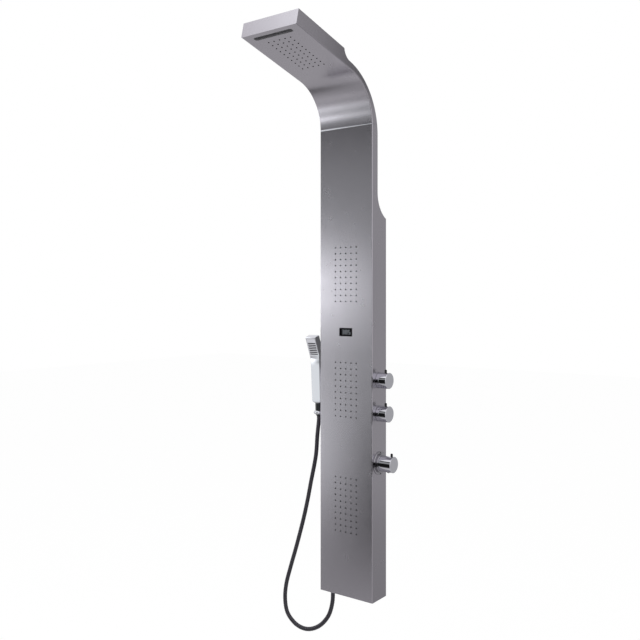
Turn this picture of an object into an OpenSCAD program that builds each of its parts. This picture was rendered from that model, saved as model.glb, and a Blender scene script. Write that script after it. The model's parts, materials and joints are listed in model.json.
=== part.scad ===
// Wall-hung shower panel column: a folded stainless column with a curved rain head,
// three groups of body jets, a thermostatic mixer, two diverters and a hand shower on a hose.
// Millimetres. +Z is up, the wall is the plane Y = 0, the column faces -Y and X is its width.
// The origin is the centre of the upper wall bracket's two holes, on the wall.
// Heights are given above the bottom edge of the column and shifted by on_wall().

/* [Column] */
// Width of the column and its head
panel_w = 200; // [190:1:260]
// Depth of the lower column, from the wall to its front face
panel_d = 80; // [78:1:100]
// Height of the seam between the lower skin and the upper skin
seam_h = 1485; // [1460:5:1600]
// Distance from the seam down to where the deep lower column has narrowed to the neck
neck_l = 211; // [160:1:235]
// Radius of the hollow curve between the lower column and the neck
step_r = 88; // [80:1:96]
// Thickness of the stainless skin
sheet = 1.5; // [1:0.1:2]
// Outside radius of the folded corners
fold_r = 2.5; // [2.2:0.1:4]
// Thickness of the rear covers
cover_t = 1.2; // [0.8:0.1:2]

/* [Head] */
// Radius of the bend, on its front surface
bend_r = 140; // [136:1:160]
// Angle that the bend turns through
bend_angle = 76.5; // [74:0.5:80]
// Length of the straight head under the bend
head_len = 280; // [275:5:340]
// Height of the head's front face
head_h = 45; // [40:1:60]
// How much larger the radius of the bend's back edge is
outer_more = 60; // [56:1:64]
// Thickness of the head where the bend's back edge meets it
outer_up = 21; // [20:0.5:24]
// Distance along the head to that place
outer_s = 21; // [18:0.5:24]
// Radius of the hollow curve where the bend's back edge rises to the head
rise_r = 38; // [34:1:42]
// Length of the waterfall slot
slot_w = 140; // [80:2:150]
// Width of the waterfall slot
slot_d = 16; // [10:0.5:18]
// Distance from the head's front face to the middle of the slot
slot_in = 23; // [20:0.5:26]

/* [Nozzles] */
// Nozzles in a row
nozzle_cols = 5; // [3:1:5]
// Rows of nozzles in each group
nozzle_rows = 10; // [4:1:10]
// Distance between nozzles in a row
col_pitch = 20; // [14:0.5:21]
// Distance between rows of body jets
jet_pitch = 19; // [12:0.5:19.5]
// Distance between rows of rain nozzles
rain_pitch = 18; // [12:0.5:18.5]
// Radius of the holes in the skin
nozzle_hole_r = 2.3; // [1.8:0.1:2.6]
// Radial gap round a nozzle in its hole
nozzle_gap = 0.3; // [0.2:0.05:0.6]
// Height of a nozzle's tip above the skin
nozzle_out = 0.8; // [0.4:0.1:2]
// Height of the middle of the lowest group of jets
jets_h = 289; // [286:1:296]
// Distance between groups of jets
jets_step = 365; // [362:1:368]

/* [Controls] */
// Height of the upper diverter knob's axis
knob_upper_h = 687; // [680:1:700]
// Distance between the diverter knobs' axes
knob_step = 104; // [96:1:110]
// Distance from the lower diverter knob's axis down to the thermostat knob's axis
thermostat_step = 155; // [145:1:165]
// Distance from the wall to the knobs' axes
valve_y = 38; // [36:1:40]
// Radius of the knobs
knob_r = 25; // [24:0.5:27]
// Distance from the side face to the outer face of a diverter knob
knob_out = 36.5; // [34:0.5:42]
// Distance from the side face to the outer face of the thermostat knob
thermostat_out = 52.5; // [50:0.5:58]
// Radius of a grip pin
grip_r = 3.8; // [3:0.1:4.2]
// Height of a grip pin above its knob
grip_out = 10; // [6:0.5:14]
// Radius of the safety stop button
button_r = 4; // [3:0.1:4.4]
// Travel of the safety stop button
button_travel = 1.8; // [1:0.1:2]
// Radius of the thermostat's cover plate
plate_r = 36.5; // [34:0.5:37]
// Radius of the collar under the thermostat knob
collar_r = 29; // [27:0.5:30]

/* [Display] */
// Width of the display opening
display_w = 45; // [40:0.5:52]
// Height of the display opening
display_l = 23; // [20:0.5:27]
// Height of the digits
digit_l = 14; // [10:0.5:15]
// Width of one digit
digit_w = 8.5; // [6:0.5:9]

/* [Hand shower] */
// Distance from the side face to the hose's axis at the holder
holder_out = 37; // [36:1:44]
// Distance from the wall to the holder's axis
holder_y = 38; // [36:1:48]
// Height of the holder ring's underside
holder_h = 560; // [550:1:566]
// Outside radius of the holder ring
ring_r = 17; // [15:0.5:19]
// Height of the holder ring
ring_l = 13; // [10:0.5:14]
// Length of the handle
handle_l = 150; // [120:1:170]
// Width of the handle
handle_w = 38; // [30:0.5:40]
// Thickness of the handle
handle_t = 27; // [24:0.5:29]
// Forward lean of the handle
handle_lean = 3; // [0:0.5:6]
// Length of the hand shower's head
spray_l = 73; // [60:1:85]
// Width of the hand shower's head
spray_w = 42; // [36:0.5:44]
// Thickness of the hand shower's head
spray_t = 23; // [19:0.5:25]
// Forward tilt of the hand shower's head
spray_tilt = 21; // [14:0.5:26]
// Outside diameter of the hose
hose_d = 14; // [12:0.5:14]

/* [Wall fixing] */
// Distance from the neck's foot down to the upper wall bracket's holes
hang_under = 129; // [114:1:134]
// Height of the lower wall bracket's holes
lower_bracket_h = 120; // [110:1:140]
// Distance between the two holes of a bracket
bracket_pitch = 100; // [80:1:110]
// Radius of the bracket's screw holes
bracket_hole_r = 2.75; // [2:0.05:3.5]
// Width of a wall bracket
bracket_w = 140; // [130:1:144]
// Distance between the hot and the cold inlet
inlet_pitch = 60; // [54:1:64]
// Radius of the inlets' half inch thread, over its crests
inlet_r = 10.48; // [9:0.02:11]
// Length of the inlets' thread
inlet_l = 14; // [10:0.5:18]

/* [Hidden] */
$fn = 48;

// Small general sizes
over = 1;            // overrun of a cut past the surface it opens
gap = 0.3;           // gap between pieces that meet but don't fit
run = 0.05;          // radial clearance of a turning or sliding fit

// Colours
steel = "#8c8a90";
bright = "#d4d6da";
brass_colour = "#b08d4a";
plastic = "#e6e4dc";
dark = "#2a2a2d";
pipe_colour = "#b9bcc0";

// Heights that follow others
step_h = seam_h - neck_l;
hang_h = step_h - hang_under;
knob_lower_h = knob_upper_h - knob_step;
thermostat_h = knob_lower_h - thermostat_step;

// Skin: places in the side view are [y, z]
inner_w = panel_w - 2 * sheet;
bend_c = [-panel_d - bend_r, seam_h];
outer_r = bend_r + outer_more;
u_dir = [-sin(bend_angle), cos(bend_angle)];
n_dir = [cos(bend_angle), sin(bend_angle)];
head_o = bend_c + bend_r * n_dir;
// Centre of the back edge's circle, to a hundredth of a millimetre
function hundredth(v) = [for (i = v) round(i * 100) / 100];
outer_c = hundredth(head_o + outer_s * u_dir + (outer_up - outer_r) * n_dir);
neck_back = outer_c[0] + outer_r;
outer_h = outer_c[1];
neck_d = panel_d + neck_back;
step_c = [neck_back + step_r, step_h];
step_foot_h = step_h - sqrt(step_r * step_r - step_c[0] * step_c[0]);
far = panel_w + head_len + step_h;   // larger than the side view
lip_w = 12;                          // inward lips that carry the rear covers
lip_end = 6;                         // lips stop this far from an end
screw_low = 42;                      // lowest and highest cover screws, from the foot and the step
screw_high = 98;
screws_high = 6;
cover_screw_h = [for (i = [0:screws_high - 1]) screw_low + i * (step_h - screw_high - screw_low) / (screws_high - 1)];
skirt = 30;                          // the bottom plate is set this far up

// Nozzles and their chambers
mat_t = 2;                           // thickness of a nozzle mat
mat_edge = 8;                        // mat beyond its outer nozzles
orifice_r = 0.7;                     // bore of a nozzle
chamber_wall = 2;
chamber_edge = 4;                    // chamber beyond its mat
chamber_d = 18;                      // depth of a body jet chamber
rain_chamber_h = 22;                 // height of the rain chamber
rain_port = 30;                      // pipe's port from the rain chamber's inner end
rain_in = 52;                        // distance from the head's front to the first rain row
jets = [jets_h, jets_h + jets_step, jets_h + 2 * jets_step];
display_h = (jets[1] + jets[2]) / 2;
cols_w = (nozzle_cols - 1) * col_pitch;
jets_l = (nozzle_rows - 1) * jet_pitch;
rain_l = (nozzle_rows - 1) * rain_pitch;
mat_w = cols_w + 2 * mat_edge;
chamber_w = mat_w + 2 * chamber_edge;
jet_mat_y = -panel_d + sheet;
jet_back_y = jet_mat_y + mat_t + chamber_d;
rain_mid = head_len - rain_in - rain_l / 2;

// Waterfall spout
spout_wall = 3;
spout_h = 22;
spout_edge = 7;                      // spout body beyond the slot
spout_lip = 1.2;                     // lip of the spout in the slot

// Pipes
pipe_r = 5.5;
pipe_bore = 4;
branch_r = 5;
branch_bore = 3.6;
tee_r = 6.5;                         // half the width of a tee or a boss
socket_t = 0.8;                      // an elbow's sockets around its branch
socket_l = 4;
socket_in = 1;                       // socket past the elbow's end, and pipe left out of it
sleeve_r = 6.2;                      // sleeve that joins a pipe's two parts at the seam
sleeve_l = 16;
bend_in = 12;                        // radius of an elbow's centre line
pipe_x = 72;                         // the two rising pipes, either side of the middle
pipe_ring = 8;                       // the pipes' axes above the skin in the bend
trunk_x = -85;                       // body jet trunk, and the hand shower's pipe before it
trunk_y = -44;
feed_y = -30;
port_x = -40;                        // port in the back of a jet chamber

// Diverter body and its outlets
block_x = 46;
block_w = 32;
block_d = 34;
block_foot = knob_lower_h - 23;
block_top = knob_upper_h + 25;
handset_h = block_foot + 12;         // feed of the hand shower's pipe
feed_h = handset_h + 28;             // feed of the trunk
rain_port_y = -46;
fall_port_y = -30;
rain_turn_h = [block_top + 25, block_top + 78];
fall_turn_h = [block_top + 50, block_top + 102];
port_depth = 10;

// Valves: places along X from the side face, inward is negative
valve_x = panel_w / 2;
cart_r = 15;
cart_in = -38;                       // where a cartridge sits in its body
cart_neck_r = 13;
cart_neck_out = 5;
neck_hole_gap = 1;
nut_r = 19;
nut_t = 4;
spindle_r = 4;
spindle_foot = -20;
spindle_flat = 1;
knob_wall = 4;
knob_cup = 14;                       // depth of a diverter knob's cup
knob_cup_t = 16;                     // depth of the thermostat knob's cup
knob_edge = 1;                       // chamfer round a knob's outer face
spindle_in = 12;                     // spindle's end below the knob's outer face
grip_in = 14;                        // grip pin behind a diverter knob's outer face
grip_in_t = 8.5;                     // grip pin behind the thermostat knob's outer face
grip_seat = 8;                       // depth of the grip pin's pocket
grip_thread_r = 2.5;
button_in = 20;                      // stop button behind the knob's outer face
button_out = 2;
button_l = 9;
spring_wire = 0.35;
spring_turns = 5;
spring_slack = 0.6;                  // spring's free room when the button is pressed
button_pocket = button_l - button_out + 2 * gap + 2 * spring_wire * spring_turns + button_travel + spring_slack;
plate_t = 3;
collar_t = 6.5;
mixer_r = 19;
mixer_l = 138;
mixer_end = 28;                      // mixer body's right end, inside the side face
mixer_out_x = -25;
inlet_mid_x = -25;
inlet_flange_r = 13;
inlet_flange_t = 4;
inlet_wall = 3;
nipple_in = 7;
plate_screw_r = 2.5;
plate_screw_at = (collar_r + plate_r) / 2;

// Turbine in the mixed water pipe
turbine_up = 34;                     // turbine's foot above the thermostat's axis
turbine_h = thermostat_h + turbine_up;
turbine_l = 48;
turbine_r = 18;
turbine_wall = 3;
turbine_cap_t = 6;
feed_over = 6;
vane_t = 1.2;
vanes = 6;
hub_r = 4;
shaft_r = 1.5;
block_feed_h = turbine_h + turbine_l + 2 * bend_in + feed_over;

// Display
bezel_edge = 1.6;
bezel_out = 0.8;
bezel_wall = 1.2;
window_t = 1.6;
digit_t = 0.5;
digit_bar = 1.5;
digit_gap = 0.4;
digit_pitch = 11.5;
board_d = 14;
board_edge = 3;
cable_r = 2;
cable_bend = 6;
cable_y = -13;
cable_drop = 38;                     // cable's level run below the display's middle
cable_up_h = display_h - cable_drop;
cable_front_y = -68;
cable_side_share = 0.83;             // where the cable leaves the turbine's round side

// Covers, brackets and their fixings
window_edge = 6;                     // rear cover's window beyond a bracket
inlet_window = [168, 76];            // rear cover's window for the supply connections
bracket_t = 2;
bracket_up = 14;
bracket_down = 20;
bracket_slot = 3;
bracket_lip = 12;
bar_t = 2;
bar_l = 120;
bar_front = 12;
bar_down = 12;
screw_head_r = 3.2;
screw_r = 1.9;
screw_l = 5;
screw_in = 6;                        // cover screws from the lip's outer edge
strip_r = 3;                         // round of the trim over the seam
strip_out = 1.2;
plate_lip = 8;

// Holder, hose ends and outlet
ring_bore = 10.2;
ring_taper = 1.3;
arm_r = 5.5;
base_l = 30;
base_w = 26;
base_t = 4;
holder_screw_r = 2.5;
holder_screw_head = 4.6;
cone_up = 25;                        // cone's top above the holder ring
cone_top_h = holder_h + ring_l + cone_up;
cone_tail = 4;
cone_top_r = 12;
cone_seat_gap = 0.15;
nipple_bore = 4.5;
outlet_r = 9.5;
outlet_l = 10;
hex_r = 12.5;
hex_l = 18;
hose_end_h = 8;

// Hose: route, then its ribs
hose_bore = 4.5;
rib_depth = 0.9;
ribs = 190;
hose_sides = 8;
bore_step = 9;
route = [
  [-137, -38, 556], [-137, -38, 539], [-143, -38, 490], [-149.5, -38, 420],
  [-170, -38, 330], [-184, -38, 268], [-201, -39, 201], [-228, -39, 113],
  [-254.5, -40, 32], [-273.5, -40, -30], [-279, -40, -82], [-269, -40, -127],
  [-240, -38, -156], [-205, -37, -166], [-169, -36, -160], [-132, -34, -138],
  [-102, -32, -101], [-88, -30, -57], [-85, -30, -12], [-85, -30, 8]
];

// Hand shower
shell_round = 3.4;
face_in = 4;
face_l = 57;
face_t = 1.5;
face_top = 7;
nozzle_lines = 7;
line_pitch = 6.4;
line_w = 30;
line_h = 3;
lines_drop = 5;                      // middle of the lines below the middle of the face
line_out = 0.6;
spray_lap = 6;
shell_bore_share = 0.85;             // how far the water's way runs up the handle

// Places shared by several pieces
axis_x = -panel_w / 2 - holder_out;
outlet_x = route[len(route) - 1][0];
outlet_y = route[len(route) - 1][1];
rise_y = bend_c[0] + bend_r + pipe_ring;

module on_wall() translate([0, 0, -hang_h]) children();
// Side view outline [y, z] given a width along X
module along_x(w) translate([-w / 2, 0, 0]) rotate([90, 0, 90]) linear_extrude(w) children();
// Frame of the bend's centre, then of the head: -Y runs out along it, +Z stands on its underside
module on_bend() translate([0, bend_c[0], bend_c[1]]) rotate([bend_angle - 90, 0, 0]) children();
module in_head() on_bend() translate([0, 0, bend_r]) children();
// Frame of a valve: +Z points out of the side face
module on_valve(h) translate([valve_x, -valve_y, h]) rotate([0, 90, 0]) rotate(180) children();

// Square prism between two corners
module block(a, b) translate(a) cube(b - a);
module rounded(size, r) {
  translate([-size[0] / 2 + r, -size[1] / 2]) square([size[0] - 2 * r, size[1]]);
  translate([-size[0] / 2, -size[1] / 2 + r]) square([size[0], size[1] - 2 * r]);
  for (x = [-1, 1], y = [-1, 1])
    translate([x * (size[0] / 2 - r), y * (size[1] / 2 - r)]) circle(r);
}
module ring(r, bore, l) linear_extrude(l) difference() {
  circle(r);
  circle(bore);
}

// Pipes: straight runs with quarter bends between them
function unit(v) = v / norm(v);
function side_of(d) = abs(d[2]) > 0.5 ? [1, 0, 0] : [0, 0, 1];
function frame(x, y, z, at) = [
  [x[0], y[0], z[0], at[0]], [x[1], y[1], z[1], at[1]],
  [x[2], y[2], z[2], at[2]], [0, 0, 0, 1]
];
module rod(a, b, r) {
  d = unit(b - a);
  x = unit(cross(side_of(d), d));
  multmatrix(frame(x, cross(d, x), d, a)) cylinder(r = r, h = norm(b - a));
}
module run_of(points, r, bend, first = 0, last_past = 0) {
  last = len(points) - 1;
  for (i = [0:last - 1]) {
    d = unit(points[i + 1] - points[i]);
    a = points[i] + d * (i == 0 ? -first : bend);
    b = points[i + 1] - d * (i == last - 1 ? -last_past : bend);
    rod(a, b, r);
  }
  if (last > 1) for (i = [1:last - 1]) {
    d1 = unit(points[i] - points[i - 1]);
    d2 = unit(points[i + 1] - points[i]);
    multmatrix(frame(-d2, d1, cross(d1, d2), points[i] - d1 * bend + d2 * bend))
      rotate_extrude(angle = 90) translate([bend, 0]) circle(r);
  }
}
module pipe(points, r, bore, bend) difference() {
  run_of(points, r, bend);
  run_of(points, bore, bend, over, over);
}

// Side view of the column under the seam
module side_outline() {
  difference() {
    translate([-panel_d, 0]) square([panel_d, step_h]);
    translate(step_c) circle(step_r);
  }
  translate([-panel_d, step_h]) square([neck_d, outer_h - step_h]);
  intersection() {
    translate(outer_c) circle(outer_r);
    translate([-panel_d, outer_h]) square([neck_d, seam_h - outer_h]);
  }
}
// Side view of what lies in front of the back edge of the bend and the head, in the bend's frame
module back_outline(inset = 0) {
  difference() {
    translate([-head_len, 0]) square([head_len - outer_s, bend_r + head_h - inset]);
    translate([-outer_s, bend_r + outer_up + rise_r]) circle(rise_r + inset);
  }
  intersection() {
    translate([-outer_s, bend_r + outer_up - outer_r]) circle(outer_r - inset);
    translate([-outer_s, 0]) square([outer_r, bend_r + outer_up]);
  }
}
// Section of the folded skin: front face at y = 0, flanges towards +Y
module fold_section(depth) difference() {
  union() {
    translate([-panel_w / 2, fold_r]) square([panel_w, depth - fold_r]);
    translate([fold_r - panel_w / 2, 0]) square([panel_w - 2 * fold_r, fold_r]);
    for (s = [-1, 1]) translate([s * (panel_w / 2 - fold_r), fold_r]) circle(fold_r);
  }
  translate([-inner_w / 2, fold_r]) square([inner_w, depth]);
  translate([fold_r - panel_w / 2, sheet]) square([panel_w - 2 * fold_r, fold_r]);
  for (s = [-1, 1]) translate([s * (panel_w / 2 - fold_r), fold_r]) circle(fold_r - sheet);
}
module nozzle_grid(pitch) for (c = [0:nozzle_cols - 1], r = [0:nozzle_rows - 1])
  translate([(c - (nozzle_cols - 1) / 2) * col_pitch, (r - (nozzle_rows - 1) / 2) * pitch])
    children();

// Stainless skins
module lower_skin() color(steel) on_wall() {
  difference() {
    intersection() {
      translate([0, -panel_d, 0]) linear_extrude(seam_h - gap) fold_section(panel_d);
      along_x(panel_w) side_outline();
    }
    for (h = jets) translate([0, over - panel_d + sheet, h]) rotate([90, 0, 0])
      linear_extrude(sheet + 2 * over) nozzle_grid(jet_pitch) circle(nozzle_hole_r);
    translate([0, sheet / 2 - panel_d, display_h])
      cube([display_w, sheet + 2 * over, display_l], center = true);
    for (h = [knob_upper_h, knob_lower_h, thermostat_h]) on_valve(h)
      translate([0, 0, -sheet - over])
        cylinder(r = cart_neck_r + neck_hole_gap, h = sheet + 2 * over);
    for (s = [-1, 1]) translate([-panel_w / 2 - over, -holder_y, holder_h + ring_l / 2 + s * base_l / 4])
      rotate([0, 90, 0]) cylinder(r = holder_screw_r + run, h = sheet + 2 * over);
    for (s = [-1, 1]) on_valve(thermostat_h) translate([s * plate_screw_at, 0, -sheet - over])
      cylinder(r = screw_r, h = sheet + 2 * over);
  }
  for (s = [-1, 1]) difference() {
    block([s * (inner_w / 2) - (s > 0 ? lip_w : 0), -cover_t - sheet, skirt],
      [s * (inner_w / 2) + (s > 0 ? 0 : lip_w), -cover_t, step_foot_h - lip_end]);
    cover_screw_places() rotate([90, 0, 0]) translate([0, 0, -over])
      cylinder(r = screw_r, h = cover_t + sheet + 2 * over);
  }
}
module upper_skin() color(steel) on_wall() {
  difference() {
    on_bend() intersection() {
      union() {
        rotate([0, -90, 0]) rotate_extrude(angle = bend_angle) translate([bend_r, 0]) rotate(-90)
          fold_section(head_h);
        translate([0, 0, bend_r]) rotate([90, 0, 0]) linear_extrude(head_len) fold_section(head_h + over);
        translate([-panel_w / 2 + fold_r / 2, -head_len, bend_r + fold_r / 2])
          cube([panel_w - fold_r, sheet, head_h - fold_r / 2]);
      }
      along_x(panel_w + 2 * over) back_outline();
    }
    in_head() translate([0, -rain_mid, -over]) linear_extrude(sheet + 2 * over)
      nozzle_grid(rain_pitch) circle(nozzle_hole_r);
    in_head() translate([0, slot_in - head_len, -over]) linear_extrude(sheet + 2 * over)
      slot_shape(slot_w, slot_d);
  }
}
module slot_shape(w, d) {
  square([w - d, d], center = true);
  for (s = [-1, 1]) translate([s * (w - d) / 2, 0]) circle(d / 2);
}
module seam_strip() color(bright) on_wall() difference() {
  translate([-panel_w / 2 + fold_r, strip_r - strip_out - panel_d, seam_h]) rotate([0, 90, 0])
    cylinder(r = strip_r, h = panel_w - 2 * fold_r);
  translate([-panel_w / 2, -panel_d - gap / 2, seam_h - strip_r - over]) cube([panel_w, 2 * strip_r + over, 2 * strip_r + 2 * over]);
}
module bottom_plate() color(steel) on_wall() difference() {
  union() {
    block([-inner_w / 2 + gap, sheet - panel_d + gap, skirt - sheet], [inner_w / 2 - gap, -cover_t - sheet - gap, skirt]);
    block([-inner_w / 2 + fold_r, sheet - panel_d + gap, skirt - sheet],
      [inner_w / 2 - fold_r, sheet - panel_d + gap + sheet, skirt + plate_lip]);
  }
  translate([outlet_x, outlet_y, skirt - sheet - over]) cylinder(r = outlet_r + run, h = sheet + 2 * over);
}

// Rear covers, their screws and the wall fixing
module cover_screw_places() for (s = [-1, 1], h = cover_screw_h)
  translate([s * (inner_w / 2 - screw_in), 0, h]) children();
module bracket_window(h) block([-bracket_w / 2 - window_edge, -cover_t - over, h - bracket_down - window_edge],
  [bracket_w / 2 + window_edge, over, h + bracket_up + bracket_lip + bar_t + window_edge]);
module rear_cover_lower() color(steel) on_wall() difference() {
  block([-inner_w / 2 + gap, -cover_t, gap], [inner_w / 2 - gap, 0, step_foot_h - gap]);
  bracket_window(hang_h);
  bracket_window(lower_bracket_h);
  translate([0, -cover_t / 2, thermostat_h])
    cube([inlet_window[0], cover_t + 2 * over, inlet_window[1]], center = true);
  cover_screw_places() rotate([90, 0, 0]) {
    translate([0, 0, -over]) cylinder(r = screw_r, h = cover_t + 2 * over);
    translate([0, 0, -over]) cylinder(r = screw_head_r + gap / 2, h = over);
    cylinder(r1 = screw_head_r + gap / 2, r2 = screw_r, h = cover_t);
  }
}
module rear_cover_neck() color(steel) on_wall() along_x(inner_w - 2 * gap) {
  difference() {
    intersection() {
      translate(step_c) circle(step_r + cover_t);
      translate([neck_back - cover_t, step_foot_h]) square([-neck_back + cover_t, step_h - step_foot_h]);
    }
    translate(step_c) circle(step_r);
  }
  translate([neck_back - cover_t, step_h]) square([cover_t, outer_h - step_h]);
  difference() {
    intersection() {
      translate(outer_c) circle(outer_r);
      translate([neck_back - outer_r, outer_h]) square([outer_r, seam_h - outer_h - gap]);
    }
    translate(outer_c) circle(outer_r - cover_t);
  }
}
// The cover's end at the seam is square to the bend, like the skin's
module rear_cover_head() color(steel) on_wall() on_bend() intersection() {
  along_x(inner_w - 2 * gap) difference() {
    back_outline();
    back_outline(cover_t);
    translate([-head_len - over, 0]) square([sheet + gap + over, bend_r + head_h + over]);
  }
  union() {
    translate([-panel_w / 2, -head_len, 0]) cube([panel_w, head_len, bend_r + head_h]);
    rotate([0, -90, 0]) rotate_extrude(angle = bend_angle) translate([bend_r, -panel_w / 2])
      square([head_h, panel_w]);
  }
}
module cover_screws() color(bright) on_wall() cover_screw_places() rotate([90, 0, 0]) {
  translate([0, 0, run]) cylinder(r1 = screw_head_r, r2 = screw_r - run, h = cover_t - run);
  translate([0, 0, cover_t]) cylinder(r = screw_r - run, h = screw_l);
}
module hanger_bar(h) {
  lip_top = h + bracket_up + bracket_lip + gap;
  front = -bracket_t - bracket_slot - bar_front;
  tongue_y = -bracket_t - (bracket_slot - bar_t) / 2;
  block([-inner_w / 2, front, h - bar_down], [inner_w / 2, front + bar_t, lip_top + bar_t]);
  block([-bar_l / 2, front, lip_top], [bar_l / 2, tongue_y, lip_top + bar_t]);
  block([-bar_l / 2, tongue_y - bar_t, h + bracket_up + gap], [bar_l / 2, tongue_y, lip_top + bar_t]);
}
module hanger_bars() color(steel) on_wall() {
  hanger_bar(hang_h);
  hanger_bar(lower_bracket_h);
}
module wall_bracket(h) difference() {
  union() {
    block([-bracket_w / 2, -bracket_t, h - bracket_down], [bracket_w / 2, 0, h + bracket_up]);
    block([-bracket_w / 2, -2 * bracket_t - bracket_slot, h + bracket_up - bracket_t], [bracket_w / 2, 0, h + bracket_up]);
    block([-bracket_w / 2, -2 * bracket_t - bracket_slot, h + bracket_up - bracket_t],
      [bracket_w / 2, -bracket_t - bracket_slot, h + bracket_up + bracket_lip]);
  }
  for (s = [-1, 1]) translate([s * bracket_pitch / 2, over, h]) rotate([90, 0, 0])
    cylinder(r = bracket_hole_r, h = bracket_t + 2 * over);
}
module wall_brackets() color(bright) on_wall() {
  wall_bracket(hang_h);
  wall_bracket(lower_bracket_h);
}

// Rain head
module nozzle_mat(pitch, l) {
  linear_extrude(mat_t) difference() {
    square([mat_w, l + 2 * mat_edge], center = true);
    nozzle_grid(pitch) circle(orifice_r);
  }
  translate([0, 0, -sheet - nozzle_out]) linear_extrude(sheet + nozzle_out) nozzle_grid(pitch) difference() {
    circle(nozzle_hole_r - nozzle_gap);
    circle(orifice_r);
  }
}
module rain_nozzle_mat() color(dark) on_wall() in_head() translate([0, -rain_mid, sheet])
  nozzle_mat(rain_pitch, rain_l);
module rain_chamber() color(plastic) on_wall() in_head() translate([0, -rain_mid, sheet + mat_t]) {
  l = rain_l + 2 * mat_edge + 2 * chamber_edge;
  difference() {
    linear_extrude(rain_chamber_h) square([chamber_w, l], center = true);
    translate([0, 0, -over]) linear_extrude(rain_chamber_h - chamber_wall + over)
      square([chamber_w - 2 * chamber_wall, l - 2 * chamber_wall], center = true);
    translate([chamber_w / 2 - chamber_wall - over, l / 2 - rain_port, pipe_ring - sheet - mat_t]) rotate([0, 90, 0])
      cylinder(r = pipe_bore, h = chamber_wall + 2 * over);
  }
}
module waterfall_spout() color(bright) on_wall() in_head() translate([0, slot_in - head_len, sheet]) {
  w = slot_w + 2 * spout_edge + 2 * pipe_r;
  d = slot_d + 2 * spout_wall;
  difference() {
    union() {
      linear_extrude(spout_h) square([w, d], center = true);
      translate([0, 0, -sheet - spout_lip + over]) linear_extrude(sheet + spout_lip) slot_shape(slot_w - gap, slot_d - gap);
    }
    translate([0, 0, -sheet - spout_lip - over]) linear_extrude(spout_h - spout_wall + sheet + spout_lip + over)
      slot_shape(slot_w - 2 * spout_lip, slot_d - 2 * spout_lip);
    translate([-pipe_x, 0, pipe_ring - sheet]) rotate([-90, 0, 0]) cylinder(r = pipe_bore, h = d);
    translate([-pipe_x, 0, pipe_ring - sheet]) rotate([0, 90, 0]) cylinder(r = pipe_bore, h = pipe_x - slot_w / 2 + slot_d);
  }
}
// A pipe that rises in the column, meets its curved part in a sleeve and runs along the head
module rising_pipe(x, low, high) {
  difference() {
    union() {
      run_of(low, pipe_r, bend_in);
      bend_pipe(x, pipe_r);
      on_bend() run_of(high, pipe_r, bend_in);
      translate([x, rise_y, seam_h - sleeve_l / 2]) cylinder(r = sleeve_r, h = sleeve_l);
    }
    run_of(low, pipe_bore, bend_in, over);
    bend_pipe(x, pipe_bore);
    on_bend() run_of(high, pipe_bore, bend_in, 0, over);
    translate([x, rise_y, seam_h - sleeve_l / 4]) cylinder(r = (pipe_r + pipe_bore) / 2, h = sleeve_l / 2);
  }
}
module bend_pipe(x, r) on_bend() rotate([0, -90, 0]) rotate_extrude(angle = bend_angle)
  translate([bend_r + pipe_ring, -x]) circle(r);
module rain_pipe() color(pipe_colour) on_wall() {
  chamber_l = rain_l + 2 * mat_edge + 2 * chamber_edge;
  port_s = rain_mid - chamber_l / 2 + rain_port;
  up = bend_r + pipe_ring;
  rising_pipe(pipe_x, [[block_x, rain_port_y, block_top - port_depth + gap], [block_x, rain_port_y, rain_turn_h[0]],
    [pipe_x, rain_port_y, rain_turn_h[0]], [pipe_x, rain_port_y, rain_turn_h[1]],
    [pipe_x, rise_y, rain_turn_h[1]], [pipe_x, rise_y, seam_h - over]],
    [[pipe_x, 0, up], [pipe_x, -port_s, up], [chamber_w / 2 + gap, -port_s, up]]);
}
module waterfall_pipe() color(pipe_colour) on_wall() {
  up = bend_r + pipe_ring;
  rising_pipe(-pipe_x, [[block_x, fall_port_y, block_top - port_depth + gap], [block_x, fall_port_y, fall_turn_h[0]],
    [-pipe_x, fall_port_y, fall_turn_h[0]], [-pipe_x, fall_port_y, fall_turn_h[1]],
    [-pipe_x, rise_y, fall_turn_h[1]], [-pipe_x, rise_y, seam_h - over]],
    [[-pipe_x, 0, up], [-pipe_x, slot_in + slot_d / 2 + spout_wall + gap - head_len, up]]);
}

// Body jets
module jet_chamber(h) color(plastic) on_wall() translate([0, jet_mat_y + mat_t, h]) rotate([-90, 0, 0]) {
  l = jets_l + 2 * mat_edge + 2 * chamber_edge;
  difference() {
    linear_extrude(chamber_d) square([chamber_w, l], center = true);
    translate([0, 0, -over]) linear_extrude(chamber_d - chamber_wall + over)
      square([chamber_w - 2 * chamber_wall, l - 2 * chamber_wall], center = true);
    translate([port_x, 0, 0]) cylinder(r = branch_bore, h = chamber_d + over);
  }
}
module jet_mat(h) color(dark) on_wall() translate([0, jet_mat_y, h]) rotate([-90, 0, 0]) nozzle_mat(jet_pitch, jets_l);
module jet_chamber_top() jet_chamber(jets[2]);
module jet_chamber_middle() jet_chamber(jets[1]);
module jet_chamber_bottom() jet_chamber(jets[0]);
module jet_mat_top() jet_mat(jets[2]);
module jet_mat_middle() jet_mat(jets[1]);
module jet_mat_bottom() jet_mat(jets[0]);
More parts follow.
